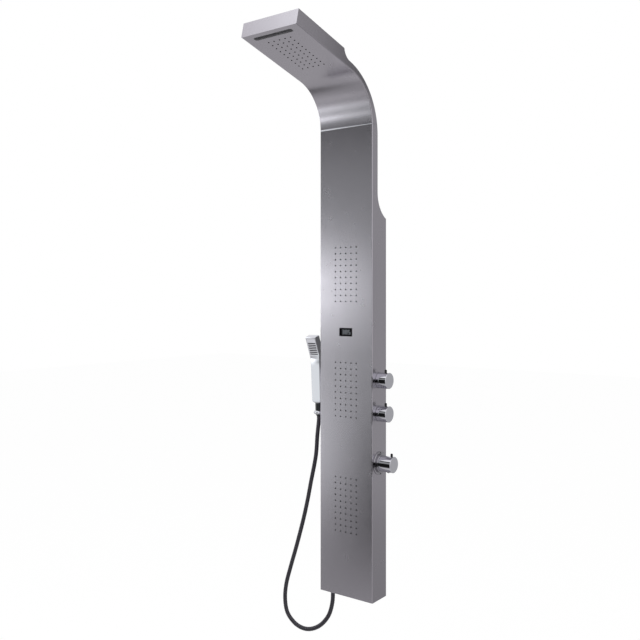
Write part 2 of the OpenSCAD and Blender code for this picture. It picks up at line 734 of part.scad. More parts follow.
// Branch to a jet chamber: its elbow sits in a socket on either side, which covers the joint with the pipe
module jet_branch(h, r, past) {
  far = port_x - bend_in;
  near = trunk_y - bend_in;
  rod([trunk_x, trunk_y, h], [far - socket_in, trunk_y, h], r);
  translate([far, near, h]) rotate_extrude(angle = 90) translate([bend_in, 0]) circle(r);
  rod([far - socket_l, trunk_y, h], [far + socket_in, trunk_y, h], r + socket_t);
  rod([port_x, near + socket_in, h], [port_x, jet_back_y - past, h], r + socket_t);
}
module jet_pipe() color(pipe_colour) on_wall() difference() {
  union() {
    rod([trunk_x, trunk_y, jets[0]], [trunk_x, trunk_y, jets[2]], pipe_r);
    for (h = jets) jet_branch(h, branch_r, 0);
    rod([trunk_x, trunk_y, feed_h], [block_x - block_w / 2 + port_depth - gap, trunk_y, feed_h], branch_r);
    for (h = concat(jets, [feed_h])) translate([trunk_x, trunk_y, h]) cube([2 * tee_r, 2 * tee_r, 2 * tee_r], center = true);
  }
  rod([trunk_x, trunk_y, jets[0]], [trunk_x, trunk_y, jets[2]], pipe_bore);
  for (h = jets) jet_branch(h, branch_bore, over);
  rod([trunk_x, trunk_y, feed_h], [block_x - block_w / 2 + port_depth + over, trunk_y, feed_h], branch_bore);
}
module handset_pipe() color(pipe_colour) on_wall()
  pipe([[block_x - block_w / 2 + port_depth - gap, feed_y, handset_h], [trunk_x, feed_y, handset_h],
    [outlet_x, outlet_y, skirt + outlet_l]], pipe_r, pipe_bore, bend_in);

// Mixer, diverter and the water's way between them
module diverter_body() color(brass_colour) on_wall() difference() {
  block([block_x - block_w / 2, -valve_y - block_d / 2, block_foot], [block_x + block_w / 2, -valve_y + block_d / 2, block_top]);
  for (h = [knob_upper_h, knob_lower_h]) on_valve(h) translate([0, 0, cart_in]) cylinder(r = cart_r + run, h = -cart_in);
  for (y = [rain_port_y, fall_port_y]) translate([block_x, y, block_top - port_depth]) cylinder(r = pipe_r + run, h = port_depth + over);
  translate([block_x, -valve_y, block_foot - over]) cylinder(r = pipe_r + run, h = port_depth + over);
  translate([block_x - block_w / 2 - over, trunk_y, feed_h]) rotate([0, 90, 0]) cylinder(r = branch_r + run, h = port_depth + over);
  translate([block_x - block_w / 2 - over, feed_y, handset_h]) rotate([0, 90, 0]) cylinder(r = pipe_r + run, h = port_depth + over);
}
module cartridge() difference() {
  union() {
    translate([0, 0, cart_in + gap]) cylinder(r = cart_r, h = -cart_in - sheet - 2 * gap);
    cylinder(r = cart_neck_r, h = cart_neck_out);
    translate([0, 0, -2 * sheet]) cylinder(r = cart_neck_r, h = 2 * sheet);
  }
  translate([0, 0, spindle_foot]) cylinder(r = spindle_r + run, h = -spindle_foot + cart_neck_out + over);
}
module diverter_cartridges() color(plastic) on_wall() for (h = [knob_upper_h, knob_lower_h]) on_valve(h) cartridge();
module thermostat_cartridge() color(plastic) on_wall() on_valve(thermostat_h) cartridge();
module panel_nuts() color(brass_colour) on_wall() {
  for (h = [knob_upper_h, knob_lower_h]) on_valve(h) translate([0, 0, gap]) ring(nut_r, cart_neck_r + run, nut_t);
  on_valve(thermostat_h) translate([0, 0, plate_t + 2 * gap]) ring(nut_r, cart_neck_r + run, nut_t);
}
module mixer_body() color(brass_colour) on_wall() {
  right = valve_x - mixer_end;
  left = right - mixer_l;
  difference() {
    union() {
      translate([left, -valve_y, thermostat_h]) rotate([0, 90, 0]) cylinder(r = mixer_r, h = mixer_l);
      translate([mixer_out_x, -valve_y, thermostat_h]) cylinder(r = tee_r + pipe_bore, h = turbine_h - thermostat_h - gap);
      on_inlets() cylinder(r = inlet_flange_r, h = mixer_r);
    }
    on_valve(thermostat_h) translate([0, 0, cart_in]) cylinder(r = cart_r + run, h = -cart_in);
    translate([left + spout_wall, -valve_y, thermostat_h]) rotate([0, 90, 0]) cylinder(r = mixer_r / 2, h = mixer_l - 2 * spout_wall);
    translate([mixer_out_x, -valve_y, thermostat_h]) cylinder(r = pipe_bore, h = turbine_h - thermostat_h);
    on_inlets() cylinder(r = inlet_r - inlet_wall + run, h = mixer_r + over);
  }
}
module on_inlets() for (s = [-1, 1]) translate([inlet_mid_x + s * inlet_pitch / 2, -valve_y, thermostat_h])
  rotate([-90, 0, 0]) children();
module inlet_nipples() color(brass_colour) on_wall() on_inlets() translate([0, 0, mixer_r + gap]) difference() {
  union() {
    translate([0, 0, -nipple_in]) cylinder(r = inlet_r - inlet_wall, h = nipple_in + over);
    cylinder(r = inlet_flange_r, h = inlet_flange_t);
    cylinder(r = inlet_r, h = inlet_flange_t + inlet_l);
  }
  translate([0, 0, -nipple_in - over]) cylinder(r = pipe_bore, h = nipple_in + inlet_flange_t + inlet_l + 2 * over);
}
module mixed_pipe() color(pipe_colour) on_wall()
  pipe([[mixer_out_x, -valve_y, turbine_h + turbine_l + gap], [mixer_out_x, -valve_y, block_feed_h],
    [block_x, -valve_y, block_feed_h], [block_x, -valve_y, block_foot + port_depth - gap]], pipe_r, pipe_bore, bend_in);

// Turbine that powers the display
module on_turbine() translate([mixer_out_x, -valve_y, turbine_h]) children();
module spider(l) {
  for (a = [0, 90]) rotate(a) translate([-pipe_bore - over, -vane_t / 2, 0]) cube([2 * (pipe_bore + over), vane_t, l]);
}
module turbine_housing() color(plastic) on_wall() on_turbine() {
  difference() {
    cylinder(r = turbine_r, h = turbine_l - turbine_cap_t);
    translate([0, 0, turbine_wall]) cylinder(r = turbine_r - turbine_wall, h = turbine_l);
    translate([0, 0, -over]) cylinder(r = pipe_bore, h = turbine_l);
  }
  spider(turbine_wall);
  cylinder(r = shaft_r, h = turbine_l - turbine_cap_t + over);
}
module turbine_cap() color(plastic) on_wall() on_turbine() translate([0, 0, turbine_l - turbine_cap_t + gap]) {
  difference() {
    cylinder(r = turbine_r, h = turbine_cap_t - gap);
    translate([0, 0, -over]) cylinder(r = pipe_bore, h = turbine_l);
  }
  difference() {
    spider(turbine_cap_t - gap);
    translate([0, 0, -over]) cylinder(r = shaft_r + run, h = 2 * over);
  }
}
module turbine_impeller() color(dark) on_wall() on_turbine() translate([0, 0, turbine_wall + gap]) {
  l = turbine_l - turbine_cap_t - turbine_wall - gap;
  difference() {
    union() {
      cylinder(r = hub_r, h = l);
      for (i = [0:vanes - 1]) rotate(i * 360 / vanes) translate([0, -vane_t / 2, over])
        cube([turbine_r - turbine_wall - 2 * gap, vane_t, l - 2 * over]);
    }
    translate([0, 0, -over]) cylinder(r = shaft_r + run, h = l + 2 * over);
  }
}

// Display
module display_bezel() color(bright) on_wall() translate([0, -panel_d, display_h]) rotate([90, 0, 0]) difference() {
  union() {
    linear_extrude(bezel_out) rounded([display_w + 2 * bezel_edge, display_l + 2 * bezel_edge], bezel_edge);
    translate([0, 0, -sheet]) linear_extrude(sheet + bezel_out) square([display_w - 2 * gap, display_l - 2 * gap], center = true);
  }
  translate([0, 0, -sheet - over]) linear_extrude(sheet + bezel_out + 2 * over)
    square([display_w - 2 * bezel_wall, display_l - 2 * bezel_wall], center = true);
}
module display_window() color(dark, 0.6) on_wall() translate([0, -panel_d, display_h]) rotate([90, 0, 0])
  translate([0, 0, -window_t + bezel_out / 2]) linear_extrude(window_t)
    square([display_w - 2 * bezel_wall - gap, display_l - 2 * bezel_wall - gap], center = true);
// Seven bars: top, upper right, lower right, bottom, lower left, upper left, middle
segments = [[1, 1, 1, 1, 0, 0, 1], [1, 1, 1, 1, 1, 1, 1], [1, 0, 1, 1, 0, 1, 1]];
module bar(l) square([l - digit_bar - 2 * digit_gap, digit_bar], center = true);
module digit(on) {
  half = (digit_l - digit_bar) / 2;
  side = (digit_w - digit_bar) / 2;
  if (on[0] == 1) translate([0, half]) bar(digit_w);
  if (on[6] == 1) bar(digit_w);
  if (on[3] == 1) translate([0, -half]) bar(digit_w);
  if (on[1] == 1) translate([side, half / 2]) rotate(90) bar(half + digit_bar);
  if (on[2] == 1) translate([side, -half / 2]) rotate(90) bar(half + digit_bar);
  if (on[4] == 1) translate([-side, -half / 2]) rotate(90) bar(half + digit_bar);
  if (on[5] == 1) translate([-side, half / 2]) rotate(90) bar(half + digit_bar);
}
board_front_y = -panel_d + sheet + gap + digit_t;
module display_digits() color(bright) on_wall() translate([0, board_front_y, display_h]) rotate([90, 0, 0])
  linear_extrude(digit_t) for (i = [0:2]) translate([(i - 1) * digit_pitch, 0]) digit(segments[i]);
module display_board() color(dark) on_wall() difference() {
  block([-display_w / 2 - board_edge, board_front_y, display_h - display_l / 2 - board_edge],
    [display_w / 2 + board_edge, board_front_y + board_d, display_h + display_l / 2 + board_edge]);
  translate([mixer_out_x / 2, cable_front_y, display_h - display_l / 2 - board_edge - over]) cylinder(r = cable_r + run, h = 2 * over + board_edge);
}
module display_cable() color(dark) on_wall()
  run_of([[mixer_out_x / 2, -valve_y + turbine_r * cable_side_share, turbine_h + turbine_l / 2],
    [mixer_out_x / 2, cable_y, turbine_h + turbine_l / 2],
    [mixer_out_x / 2, cable_y, cable_up_h], [mixer_out_x / 2, cable_front_y, cable_up_h],
    [mixer_out_x / 2, cable_front_y, display_h - display_l / 2 - board_edge + over]], cable_r, cable_bend);

// Knobs, grip pins and spindles
module knob(out, foot, cup, pin_in) difference() {
  union() {
    translate([0, 0, foot]) cylinder(r = knob_r, h = out - foot - knob_edge);
    translate([0, 0, out - knob_edge]) cylinder(r1 = knob_r, r2 = knob_r - knob_edge, h = knob_edge);
  }
  translate([0, 0, foot - over]) cylinder(r = knob_r - knob_wall, h = cup + over);
  translate([0, 0, foot]) cylinder(r = spindle_r + run, h = out - foot - spindle_in + gap);
  translate([0, 0, out - pin_in]) rotate([0, 90, 0]) {
    cylinder(r = grip_thread_r + run, h = knob_r + over);
    translate([0, 0, knob_r - grip_seat]) cylinder(r = grip_r + run, h = grip_seat + over);
  }
}
module grip(out, pin_in) translate([0, 0, out - pin_in]) rotate([0, 90, 0]) {
  translate([0, 0, spindle_r + gap]) cylinder(r = grip_thread_r, h = knob_r - grip_seat - spindle_r);
  translate([0, 0, knob_r - grip_seat + gap]) cylinder(r = grip_r, h = grip_seat - gap + grip_out - grip_r / 2);
  translate([0, 0, knob_r + grip_out - grip_r / 2]) scale([1, 1, 1]) intersection() {
    translate([0, 0, -grip_r]) sphere(r = sqrt(2) * grip_r);
    cylinder(r = grip_r, h = grip_r);
  }
}
module spindle(out) difference() {
  translate([0, 0, spindle_foot + gap]) cylinder(r = spindle_r, h = out - spindle_in - spindle_foot - gap);
  translate([-spindle_r, spindle_r - spindle_flat, cart_neck_out + gap]) cube([2 * spindle_r, spindle_r, out]);
}
module knob_upper() color(bright) on_wall() on_valve(knob_upper_h) knob(knob_out, 2 * gap, knob_cup, grip_in);
module grip_upper() color(bright) on_wall() on_valve(knob_upper_h) grip(knob_out, grip_in);
module spindle_upper() color(brass_colour) on_wall() on_valve(knob_upper_h) spindle(knob_out);
module knob_lower() color(bright) on_wall() on_valve(knob_lower_h) knob(knob_out, 2 * gap, knob_cup, grip_in);
module grip_lower() color(bright) on_wall() on_valve(knob_lower_h) grip(knob_out, grip_in);
module spindle_lower() color(brass_colour) on_wall() on_valve(knob_lower_h) spindle(knob_out);

// Thermostat: cover plate, collar, knob and safety stop
thermostat_foot = plate_t + collar_t + 2 * gap;
module thermostat_plate() color(bright) on_wall() on_valve(thermostat_h) difference() {
  union() {
    translate([0, 0, gap]) cylinder(r = plate_r, h = plate_t / 2);
    translate([0, 0, gap + plate_t / 2]) cylinder(r1 = plate_r, r2 = plate_r - plate_t / 2, h = plate_t / 2);
    translate([0, 0, plate_t]) cylinder(r = collar_r, h = collar_t + gap - knob_edge);
    translate([0, 0, plate_t + collar_t + gap - knob_edge]) cylinder(r1 = collar_r, r2 = collar_r - knob_edge, h = knob_edge);
  }
  cylinder(r = cart_neck_r + run, h = plate_t + over);
  translate([0, 0, plate_t + gap]) cylinder(r = nut_r + gap, h = collar_t + over);
  for (s = [-1, 1]) translate([s * plate_screw_at, 0, 0]) cylinder(r = screw_r, h = plate_t + over);
}
module plate_screws() color(dark) on_wall() on_valve(thermostat_h) for (s = [-1, 1]) translate([s * plate_screw_at, 0, 0]) {
  translate([0, 0, plate_t + gap]) cylinder(r1 = plate_screw_r, r2 = plate_screw_r / 2, h = plate_screw_r / 2);
  translate([0, 0, -screw_l]) cylinder(r = screw_r - run, h = screw_l + plate_t + gap);
}
module button_pocket_place() translate([0, 0, thermostat_out - button_in]) rotate([0, -90, 0]) children();
module thermostat_knob() color(bright) on_wall() on_valve(thermostat_h) difference() {
  knob(thermostat_out, thermostat_foot, knob_cup_t - over, grip_in_t);
  button_pocket_place() translate([0, 0, knob_r - button_pocket]) cylinder(r = button_r + run, h = button_pocket + over);
}
module thermostat_grip() color(bright) on_wall() on_valve(thermostat_h) grip(thermostat_out, grip_in_t);
module thermostat_spindle() color(brass_colour) on_wall() on_valve(thermostat_h) spindle(thermostat_out);
module stop_button() color(dark) on_wall() on_valve(thermostat_h) button_pocket_place()
  translate([0, 0, knob_r + button_out - button_l]) {
    cylinder(r = button_r, h = button_l - over);
    translate([0, 0, button_l - over]) cylinder(r1 = button_r, r2 = button_r - over, h = over);
  }

// Tube with faces in triangles along the points of a path, ring by ring
function circle_at(c, x, y, r, n) = [for (k = [0:n - 1]) c + r * cos(k * 360 / n) * x + r * sin(k * 360 / n) * y];
function wall_faces(first, rings, n, out) = [for (i = [0:rings - 2], k = [0:n - 1]) each
  let (a = first + i * n + k, b = first + i * n + (k + 1) % n, c = a + n, d = b + n)
  out ? [[a, c, b], [b, c, d]] : [[a, b, c], [b, d, c]]];
spring_foot = knob_r - button_pocket + gap;
spring_l = button_pocket + button_out - button_l - 2 * gap;
spring_r = button_r - gap - 2 * spring_wire;
spring_steps = 14;
module stop_spring() color(bright) on_wall() on_valve(thermostat_h) button_pocket_place() {
  n = spring_turns * spring_steps;
  rise = spring_l - 2 * spring_wire;
  rings = [for (i = [0:n]) let (a = i * 360 / spring_steps, o = [cos(a), sin(a), 0])
    circle_at(spring_r * o + [0, 0, spring_foot + spring_wire + rise * i / n], o, [0, 0, 1], spring_wire, 6)];
  polyhedron([for (r = rings) each r], concat(wall_faces(0, n + 1, 6, false),
    [for (k = [1:4]) [0, k, k + 1]], [for (k = [1:4]) [n * 6, n * 6 + k + 1, n * 6 + k]]));
}

// Holder, hose and its ends
module on_holder() translate([axis_x, -holder_y, holder_h]) children();
module holder() color(bright) on_wall() difference() {
  union() {
    on_holder() translate([0, 0, ring_l / 2]) rotate_extrude() translate([ring_r - ring_l / 2, 0]) circle(ring_l / 2);
    on_holder() translate([ring_r - ring_l / 2, 0, ring_l / 2]) rotate([0, 90, 0])
      cylinder(r = arm_r, h = holder_out - ring_r + ring_l / 2 - base_t / 2);
    translate([-panel_w / 2 - base_t - gap, -holder_y, holder_h + ring_l / 2]) rotate([90, 0, 90])
      linear_extrude(base_t) rounded([base_w, base_l], shell_round);
  }
  on_holder() translate([0, 0, -over]) cylinder(r1 = ring_bore - ring_taper * over / ring_l,
    r2 = ring_bore + ring_taper * (1 + over / ring_l), h = ring_l + 2 * over);
  for (s = [-1, 1]) translate([-panel_w / 2 - base_t - over, -holder_y, holder_h + ring_l / 2 + s * base_l / 4])
    rotate([0, 90, 0]) cylinder(r = holder_screw_r + run, h = base_t + 2 * over);
}
module holder_screw() color(bright) on_wall() for (s = [-1, 1])
  translate([-panel_w / 2 - base_t - gap, -holder_y, holder_h + ring_l / 2 + s * base_l / 4]) rotate([0, 90, 0])
    cylinder(r = holder_screw_r, h = base_t + sheet + screw_l);
module hose_cone() color(bright) on_wall() difference() {
  bottom_h = route[0][2];
  seat_l = holder_h + ring_l - bottom_h;
  union() {
    translate([axis_x, -holder_y, bottom_h])
      cylinder(r1 = ring_bore - cone_seat_gap - ring_taper * (holder_h - bottom_h) / ring_l,
        r2 = ring_bore - cone_seat_gap + ring_taper, h = seat_l);
    translate([axis_x, -holder_y, bottom_h + seat_l])
      cylinder(r1 = ring_bore - cone_seat_gap + ring_taper, r2 = cone_top_r, h = cone_top_h - bottom_h - seat_l);
  }
  translate([axis_x, -holder_y, bottom_h - over]) cylinder(r = nipple_bore, h = cone_top_h - bottom_h + 2 * over);
}
module hose_outlet() color(brass_colour) on_wall() translate([outlet_x, outlet_y, 0]) difference() {
  union() {
    translate([0, 0, hose_end_h + hex_l / 2]) cylinder(r = outlet_r, h = skirt + outlet_l - hose_end_h - hex_l / 2);
    translate([0, 0, skirt + gap]) cylinder(r = hex_r, h = outlet_l / 2, $fn = 6);
  }
  translate([0, 0, hose_end_h]) cylinder(r = nipple_bore, h = skirt + outlet_l);
}
module hose_nut() color(bright) on_wall() translate([outlet_x, outlet_y, hose_end_h]) difference() {
  cylinder(r = hex_r, h = hex_l, $fn = 6);
  translate([0, 0, hex_l / 2 - gap]) cylinder(r = outlet_r + run, h = hex_l);
  translate([0, 0, -over]) cylinder(r = nipple_bore, h = hex_l);
}
// Smooth curve through the route's points
function spline(a, b, c, d, t) = 0.5 * (2 * b + (c - a) * t + (2 * a - 5 * b + 4 * c - d) * t * t
  + (3 * b - a - 3 * c + d) * t * t * t);
function route_at(u) = let (n = len(route) - 1, i = min(floor(u), n - 1))
  spline(route[max(i - 1, 0)], route[i], route[i + 1], route[min(i + 2, n)], u - i);
samples = 20;
fine = [for (i = [0:(len(route) - 1) * samples]) route_at(i / samples)];
runs = [for (i = 0, s = 0; i < len(fine); i = i + 1, s = i < len(fine) ? s + norm(fine[i] - fine[i - 1]) : s) s];
hose_l = runs[len(runs) - 1];
function span_of(s, lo, hi) = hi - lo <= 1 ? lo : let (m = floor((lo + hi) / 2)) runs[m] <= s ? span_of(s, m, hi) : span_of(s, lo, m);
function point_at(s) = let (i = span_of(s, 0, len(runs) - 1), t = (s - runs[i]) / (runs[i + 1] - runs[i])) fine[i] + t * (fine[i + 1] - fine[i]);
function heading(s) = s < hose_d / 2 || s > hose_l - hose_d / 2 ? [0, 0, s < hose_d ? -1 : 1]
  : unit(point_at(min(s + over, hose_l)) - point_at(max(s - over, 0)));
function hose_ring(s, r) = let (d = heading(s), x = [0, 1, 0], y = unit(cross(d, x))) circle_at(point_at(s), unit(cross(y, d)), y, r, hose_sides);
module hose() color("#5e5c62") on_wall() {
  rib_l = hose_l / ribs;
  outer = [for (i = [0:2 * ribs]) hose_ring(min(i * rib_l / 2, hose_l), hose_d / 2 - (i % 2 == 0 ? rib_depth : 0))];
  bores = ceil(hose_l / hose_d / 2);
  inner = [for (i = [0:bores]) hose_ring(i * hose_l / bores, hose_bore)];
  n = hose_sides;
  first = len(outer) * n;
  last_o = first - n;
  last_i = first + bores * n;
  polyhedron([for (r = concat(outer, inner)) each r], concat(
    wall_faces(0, len(outer), n, true), wall_faces(first, bores + 1, n, false),
    [for (k = [0:n - 1]) each let (j = (k + 1) % n) [[k, j, first + k], [j, first + j, first + k]]],
    [for (k = [0:n - 1]) each let (j = (k + 1) % n) [[last_o + k, last_i + k, last_o + j], [last_o + j, last_i + k, last_i + j]]]));
}

// Hand shower
module on_handle() translate([axis_x, -holder_y, cone_top_h + gap]) rotate([handle_lean, 0, 0]) children();
module on_spray() on_handle() translate([0, -handle_t / 2, handle_l]) rotate([spray_tilt - handle_lean, 0, 0]) children();
module handset_shell() color(bright) on_wall() difference() {
  union() {
    difference() {
      on_handle() translate([0, 0, -spray_lap]) linear_extrude(handle_l + spray_lap) rounded([handle_w, handle_t], shell_round);
      translate([axis_x, -holder_y, cone_top_h + gap - 2 * spray_lap]) cylinder(r = 2 * handle_w, h = 2 * spray_lap);
    }
    on_spray() translate([0, spray_t / 2, -spray_lap]) linear_extrude(spray_l + spray_lap) rounded([spray_w, spray_t], shell_round / 2);
  }
  on_spray() translate([face_in - spray_w / 2, -over, spray_l - face_top - face_l]) cube([spray_w - 2 * face_in, face_t + mat_t + over, face_l]);
  translate([axis_x, -holder_y, cone_top_h - over]) cylinder(r = nipple_bore, h = handle_l * shell_bore_share);
}
module nozzle_lines(grow) for (i = [0:nozzle_lines - 1])
  translate([0, (i - (nozzle_lines - 1) / 2) * line_pitch - lines_drop]) square([line_w + grow, line_h + grow], center = true);
module on_face() on_spray() translate([0, 0, spray_l - face_top - face_l / 2]) rotate([90, 0, 0]) children();
module handset_face() color(bright) on_wall() on_face() translate([0, 0, -face_t]) linear_extrude(face_t) difference() {
  square([spray_w - 2 * face_in - gap, face_l - gap], center = true);
  nozzle_lines(2 * run);
}
module handset_nozzles() color(dark) on_wall() on_face() {
  translate([0, 0, -face_t - mat_t]) linear_extrude(mat_t) square([spray_w - 2 * face_in - gap, face_l - gap], center = true);
  translate([0, 0, -face_t]) linear_extrude(face_t + line_out) nozzle_lines(0);
}

lower_skin();
upper_skin();
seam_strip();
bottom_plate();
rear_cover_lower();
rear_cover_neck();
rear_cover_head();
cover_screws();
hanger_bars();
wall_brackets();
rain_chamber();
rain_nozzle_mat();
waterfall_spout();
waterfall_pipe();
rain_pipe();
jet_chamber_top();
jet_chamber_middle();
jet_chamber_bottom();
jet_mat_top();
jet_mat_middle();
jet_mat_bottom();
jet_pipe();
handset_pipe();
diverter_body();
diverter_cartridges();
mixer_body();
thermostat_cartridge();
panel_nuts();
inlet_nipples();
mixed_pipe();
thermostat_plate();
plate_screws();
display_bezel();
display_window();
display_digits();
display_board();
display_cable();
turbine_housing();
turbine_cap();
turbine_impeller();
holder();
holder_screw();
hose_outlet();
hose_nut();
hose();
hose_cone();
knob_upper();
grip_upper();
spindle_upper();
knob_lower();
grip_lower();
spindle_lower();
thermostat_knob();
thermostat_grip();
thermostat_spindle();
stop_spring();
stop_button();
handset_shell();
handset_face();
handset_nozzles();
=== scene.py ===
"""Shower panel column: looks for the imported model, laid out as a Blender add-on and run as a script.

The column hangs on a wall: +Z is up, the wall is the plane Y = 0 and the column faces -Y.
Sizes are metres in the row's frame, whose origin is the middle of the upper wall bracket.
"""

import json
import math

import bmesh
import bpy
from bpy.props import FloatProperty, FloatVectorProperty, IntProperty, PointerProperty
from mathutils import Matrix, Vector


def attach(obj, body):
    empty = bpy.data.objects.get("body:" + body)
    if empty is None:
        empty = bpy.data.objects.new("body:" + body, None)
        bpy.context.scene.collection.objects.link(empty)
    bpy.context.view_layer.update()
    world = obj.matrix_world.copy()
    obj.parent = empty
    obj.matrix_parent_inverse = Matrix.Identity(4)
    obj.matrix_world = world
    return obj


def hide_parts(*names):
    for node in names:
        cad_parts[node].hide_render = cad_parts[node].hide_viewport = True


bl_info = {
    "name": "Shower panel column",
    "version": (1, 0, 0),
    "blender": (4, 5, 0),
    "location": "3D View > Sidebar > Shower",
    "description": "Builds the finishes, hose, nozzles and hand shower of a shower panel column",
    "category": "Object",
}

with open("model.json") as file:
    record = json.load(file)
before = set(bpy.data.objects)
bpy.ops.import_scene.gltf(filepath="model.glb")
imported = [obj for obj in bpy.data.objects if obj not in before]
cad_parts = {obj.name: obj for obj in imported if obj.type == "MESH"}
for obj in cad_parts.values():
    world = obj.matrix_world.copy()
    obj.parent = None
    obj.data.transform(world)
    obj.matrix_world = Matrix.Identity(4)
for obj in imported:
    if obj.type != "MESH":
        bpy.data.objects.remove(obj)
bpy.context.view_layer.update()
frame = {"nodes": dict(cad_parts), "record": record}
NODES = frame["nodes"]
MM = 0.001
HANG = 1145  # height of the origin above the column's lower edge, in millimetres

# Sizes of the solids that the pieces below follow, in millimetres and degrees
COLUMN_DEPTH = 80
SHEET = 1.5
JET_HEIGHTS = {"jet_mat_top": 1019, "jet_mat_middle": 654, "jet_mat_bottom": 289}
JET_PITCH = 19  # between the rows of a jet mat
RAIN_PITCH = 18  # between the rows of the rain mat
NOZZLE_ROWS = 10
RAIN_IN = 52  # from the head's front edge to the first row
HEAD_LENGTH = 280
BEND_ANGLE = 76.5
BEND_RADIUS = 140
BEND_AXIS = (0, -220, 1485)
SHELL_FOOT = (-137, -38, 598.3)  # lower end of the hand shower's shell
SHELL_LEAN = 3
SHELL_HEAD = (0, -13.5, 150)  # where the hand shower's head starts, seen from that end
SHELL_HEAD_LEAN = 21
SHELL_DEPTH = 27


def place(x, y, z):
    """A point given in millimetres, with its height above the column's lower edge."""
    return Vector((x, y, z - HANG)) * MM


def linear(code):
    """A colour written as sRGB hex, in linear light."""
    parts = [int(code[i : i + 2], 16) / 255 for i in (1, 3, 5)]
    return [c / 12.92 if c <= 0.04045 else ((c + 0.055) / 1.055) ** 2.4 for c in parts]


def colour_property(name, code, description):
    return FloatVectorProperty(name=name, description=description, subtype="COLOR", size=3, min=0, max=1,
                               default=linear(code))


class ShowerFinishes(bpy.types.PropertyGroup):
    steel: colour_property("Stainless steel", "#b3afb7", "Colour of the column's brushed skin")
    chrome: colour_property("Chrome", "#d4d4db", "Colour of the knobs and the hand shower")
    hose: colour_property("Hose", "#49474d", "Colour of the ribbed metal hose")
    rubber: colour_property("Nozzle rubber", "#0d0d0e", "Colour of the soft nozzles")
    digits: colour_property("Digits", "#dfe6ea", "Colour of the display's digits")


def length_property(name, default, description):
    return FloatProperty(name=name, description=description, default=default, unit="LENGTH", precision=4)


class ShowerSizes(bpy.types.PropertyGroup):
    hose_diameter: length_property("Hose diameter", 0.0139, "Outside diameter over the ribs")
    hose_ribs: IntProperty(name="Hose ribs", description="Number of ribs on the hose", default=190, min=10)
    rib_depth: length_property("Rib depth", 0.0009, "Depth of the groove between two ribs")
    nozzle_radius: length_property("Nozzle radius", 0.002, "Radius of a soft nozzle")
    nozzle_out: length_property("Nozzle height", 0.0008, "Height of a nozzle above the skin")


# Materials


def add(tree, kind, inputs=None, **settings):
    """Adds a node: settings are its properties, and inputs its sockets' values or what is linked to them."""
    node = tree.nodes.new(kind)
    for key, value in settings.items():
        setattr(node, key, value)
    for key, value in (inputs or {}).items():
        if isinstance(value, bpy.types.NodeSocket):
            tree.links.new(value, node.inputs[key])
        else:
            node.inputs[key].default_value = value
    return node


def new_material(name):
    """A material with its node tree emptied down to the output, and its surface socket."""
    material = bpy.data.materials.new(name)
    material.use_nodes = True
    tree = material.node_tree
    tree.nodes.clear()
    return material, tree, add(tree, "ShaderNodeOutputMaterial")


def grain(tree, size_mm, stretch=(1, 1, 1), detail=3.0):
    """Noise whose patches are about size_mm across, stretched along the axes given as factors."""
    coords = add(tree, "ShaderNodeTexCoord")
    scale = [1 / (size_mm * MM * s) for s in stretch]
    mapped = add(tree, "ShaderNodeMapping", {"Vector": coords.outputs["Object"], "Scale": scale})
    return add(tree, "ShaderNodeTexNoise", {"Vector": mapped.outputs[0], "Scale": 1.0, "Detail": detail,
                                            "Roughness": 0.55}).outputs[0]


def spread(tree, value, low, high):
    """Maps a noise value to the range from low to high."""
    return add(tree, "ShaderNodeMapRange", {"Value": value, "From Min": 0.3, "From Max": 0.7, "To Min": low,
                                            "To Max": high}).outputs[0]


def tinted(tree, value, colour, share):
    """A colour that varies by share up and down with a noise value."""
    low = [c * (1 - share) for c in colour] + [1]
    high = [min(1, c * (1 + share)) for c in colour] + [1]
    return add(tree, "ShaderNodeMix", {"Factor": value, "A": low, "B": high}, data_type="RGBA").outputs[2]


def bumped(tree, value, height_mm):
    """A normal that follows a noise value as a height."""
    inputs = {"Height": value, "Distance": height_mm * MM, "Strength": 1.0}
    return add(tree, "ShaderNodeBump", inputs).outputs[0]


def maths(tree, operation, first, second, **settings):
    return add(tree, "ShaderNodeMath", {0: first, 1: second}, operation=operation, **settings).outputs[0]


def metal(name, colour, rough, size_mm, stretch, share, bump_mm):
    """A metal whose roughness, colour and height follow one grain."""
    material, tree, out = new_material(name)
    streaks = grain(tree, size_mm, stretch)
    clouds = grain(tree, 40)
    shader = add(tree, "ShaderNodeBsdfPrincipled", {
        "Base Color": tinted(tree, streaks, colour, share), "Metallic": 1.0,
        "Roughness": spread(tree, clouds, rough[0], rough[1]), "Normal": bumped(tree, streaks, bump_mm)})
    tree.links.new(shader.outputs[0], out.inputs["Surface"])
    return material


def moulded(name, colour, rough, size_mm, bump_mm, share=0.06, **constants):
    """Moulded plastic or rubber with the fine texture of its mould."""
    material, tree, out = new_material(name)
    texture = grain(tree, size_mm)
    inputs = {"Base Color": tinted(tree, texture, colour, share), "Roughness": spread(tree, texture, *rough),
              "Normal": bumped(tree, texture, bump_mm)}
    inputs.update(constants)
    shader = add(tree, "ShaderNodeBsdfPrincipled", inputs)
    tree.links.new(shader.outputs[0], out.inputs["Surface"])
    return material


MATERIALS = {}  # filled by the operator for the finishes


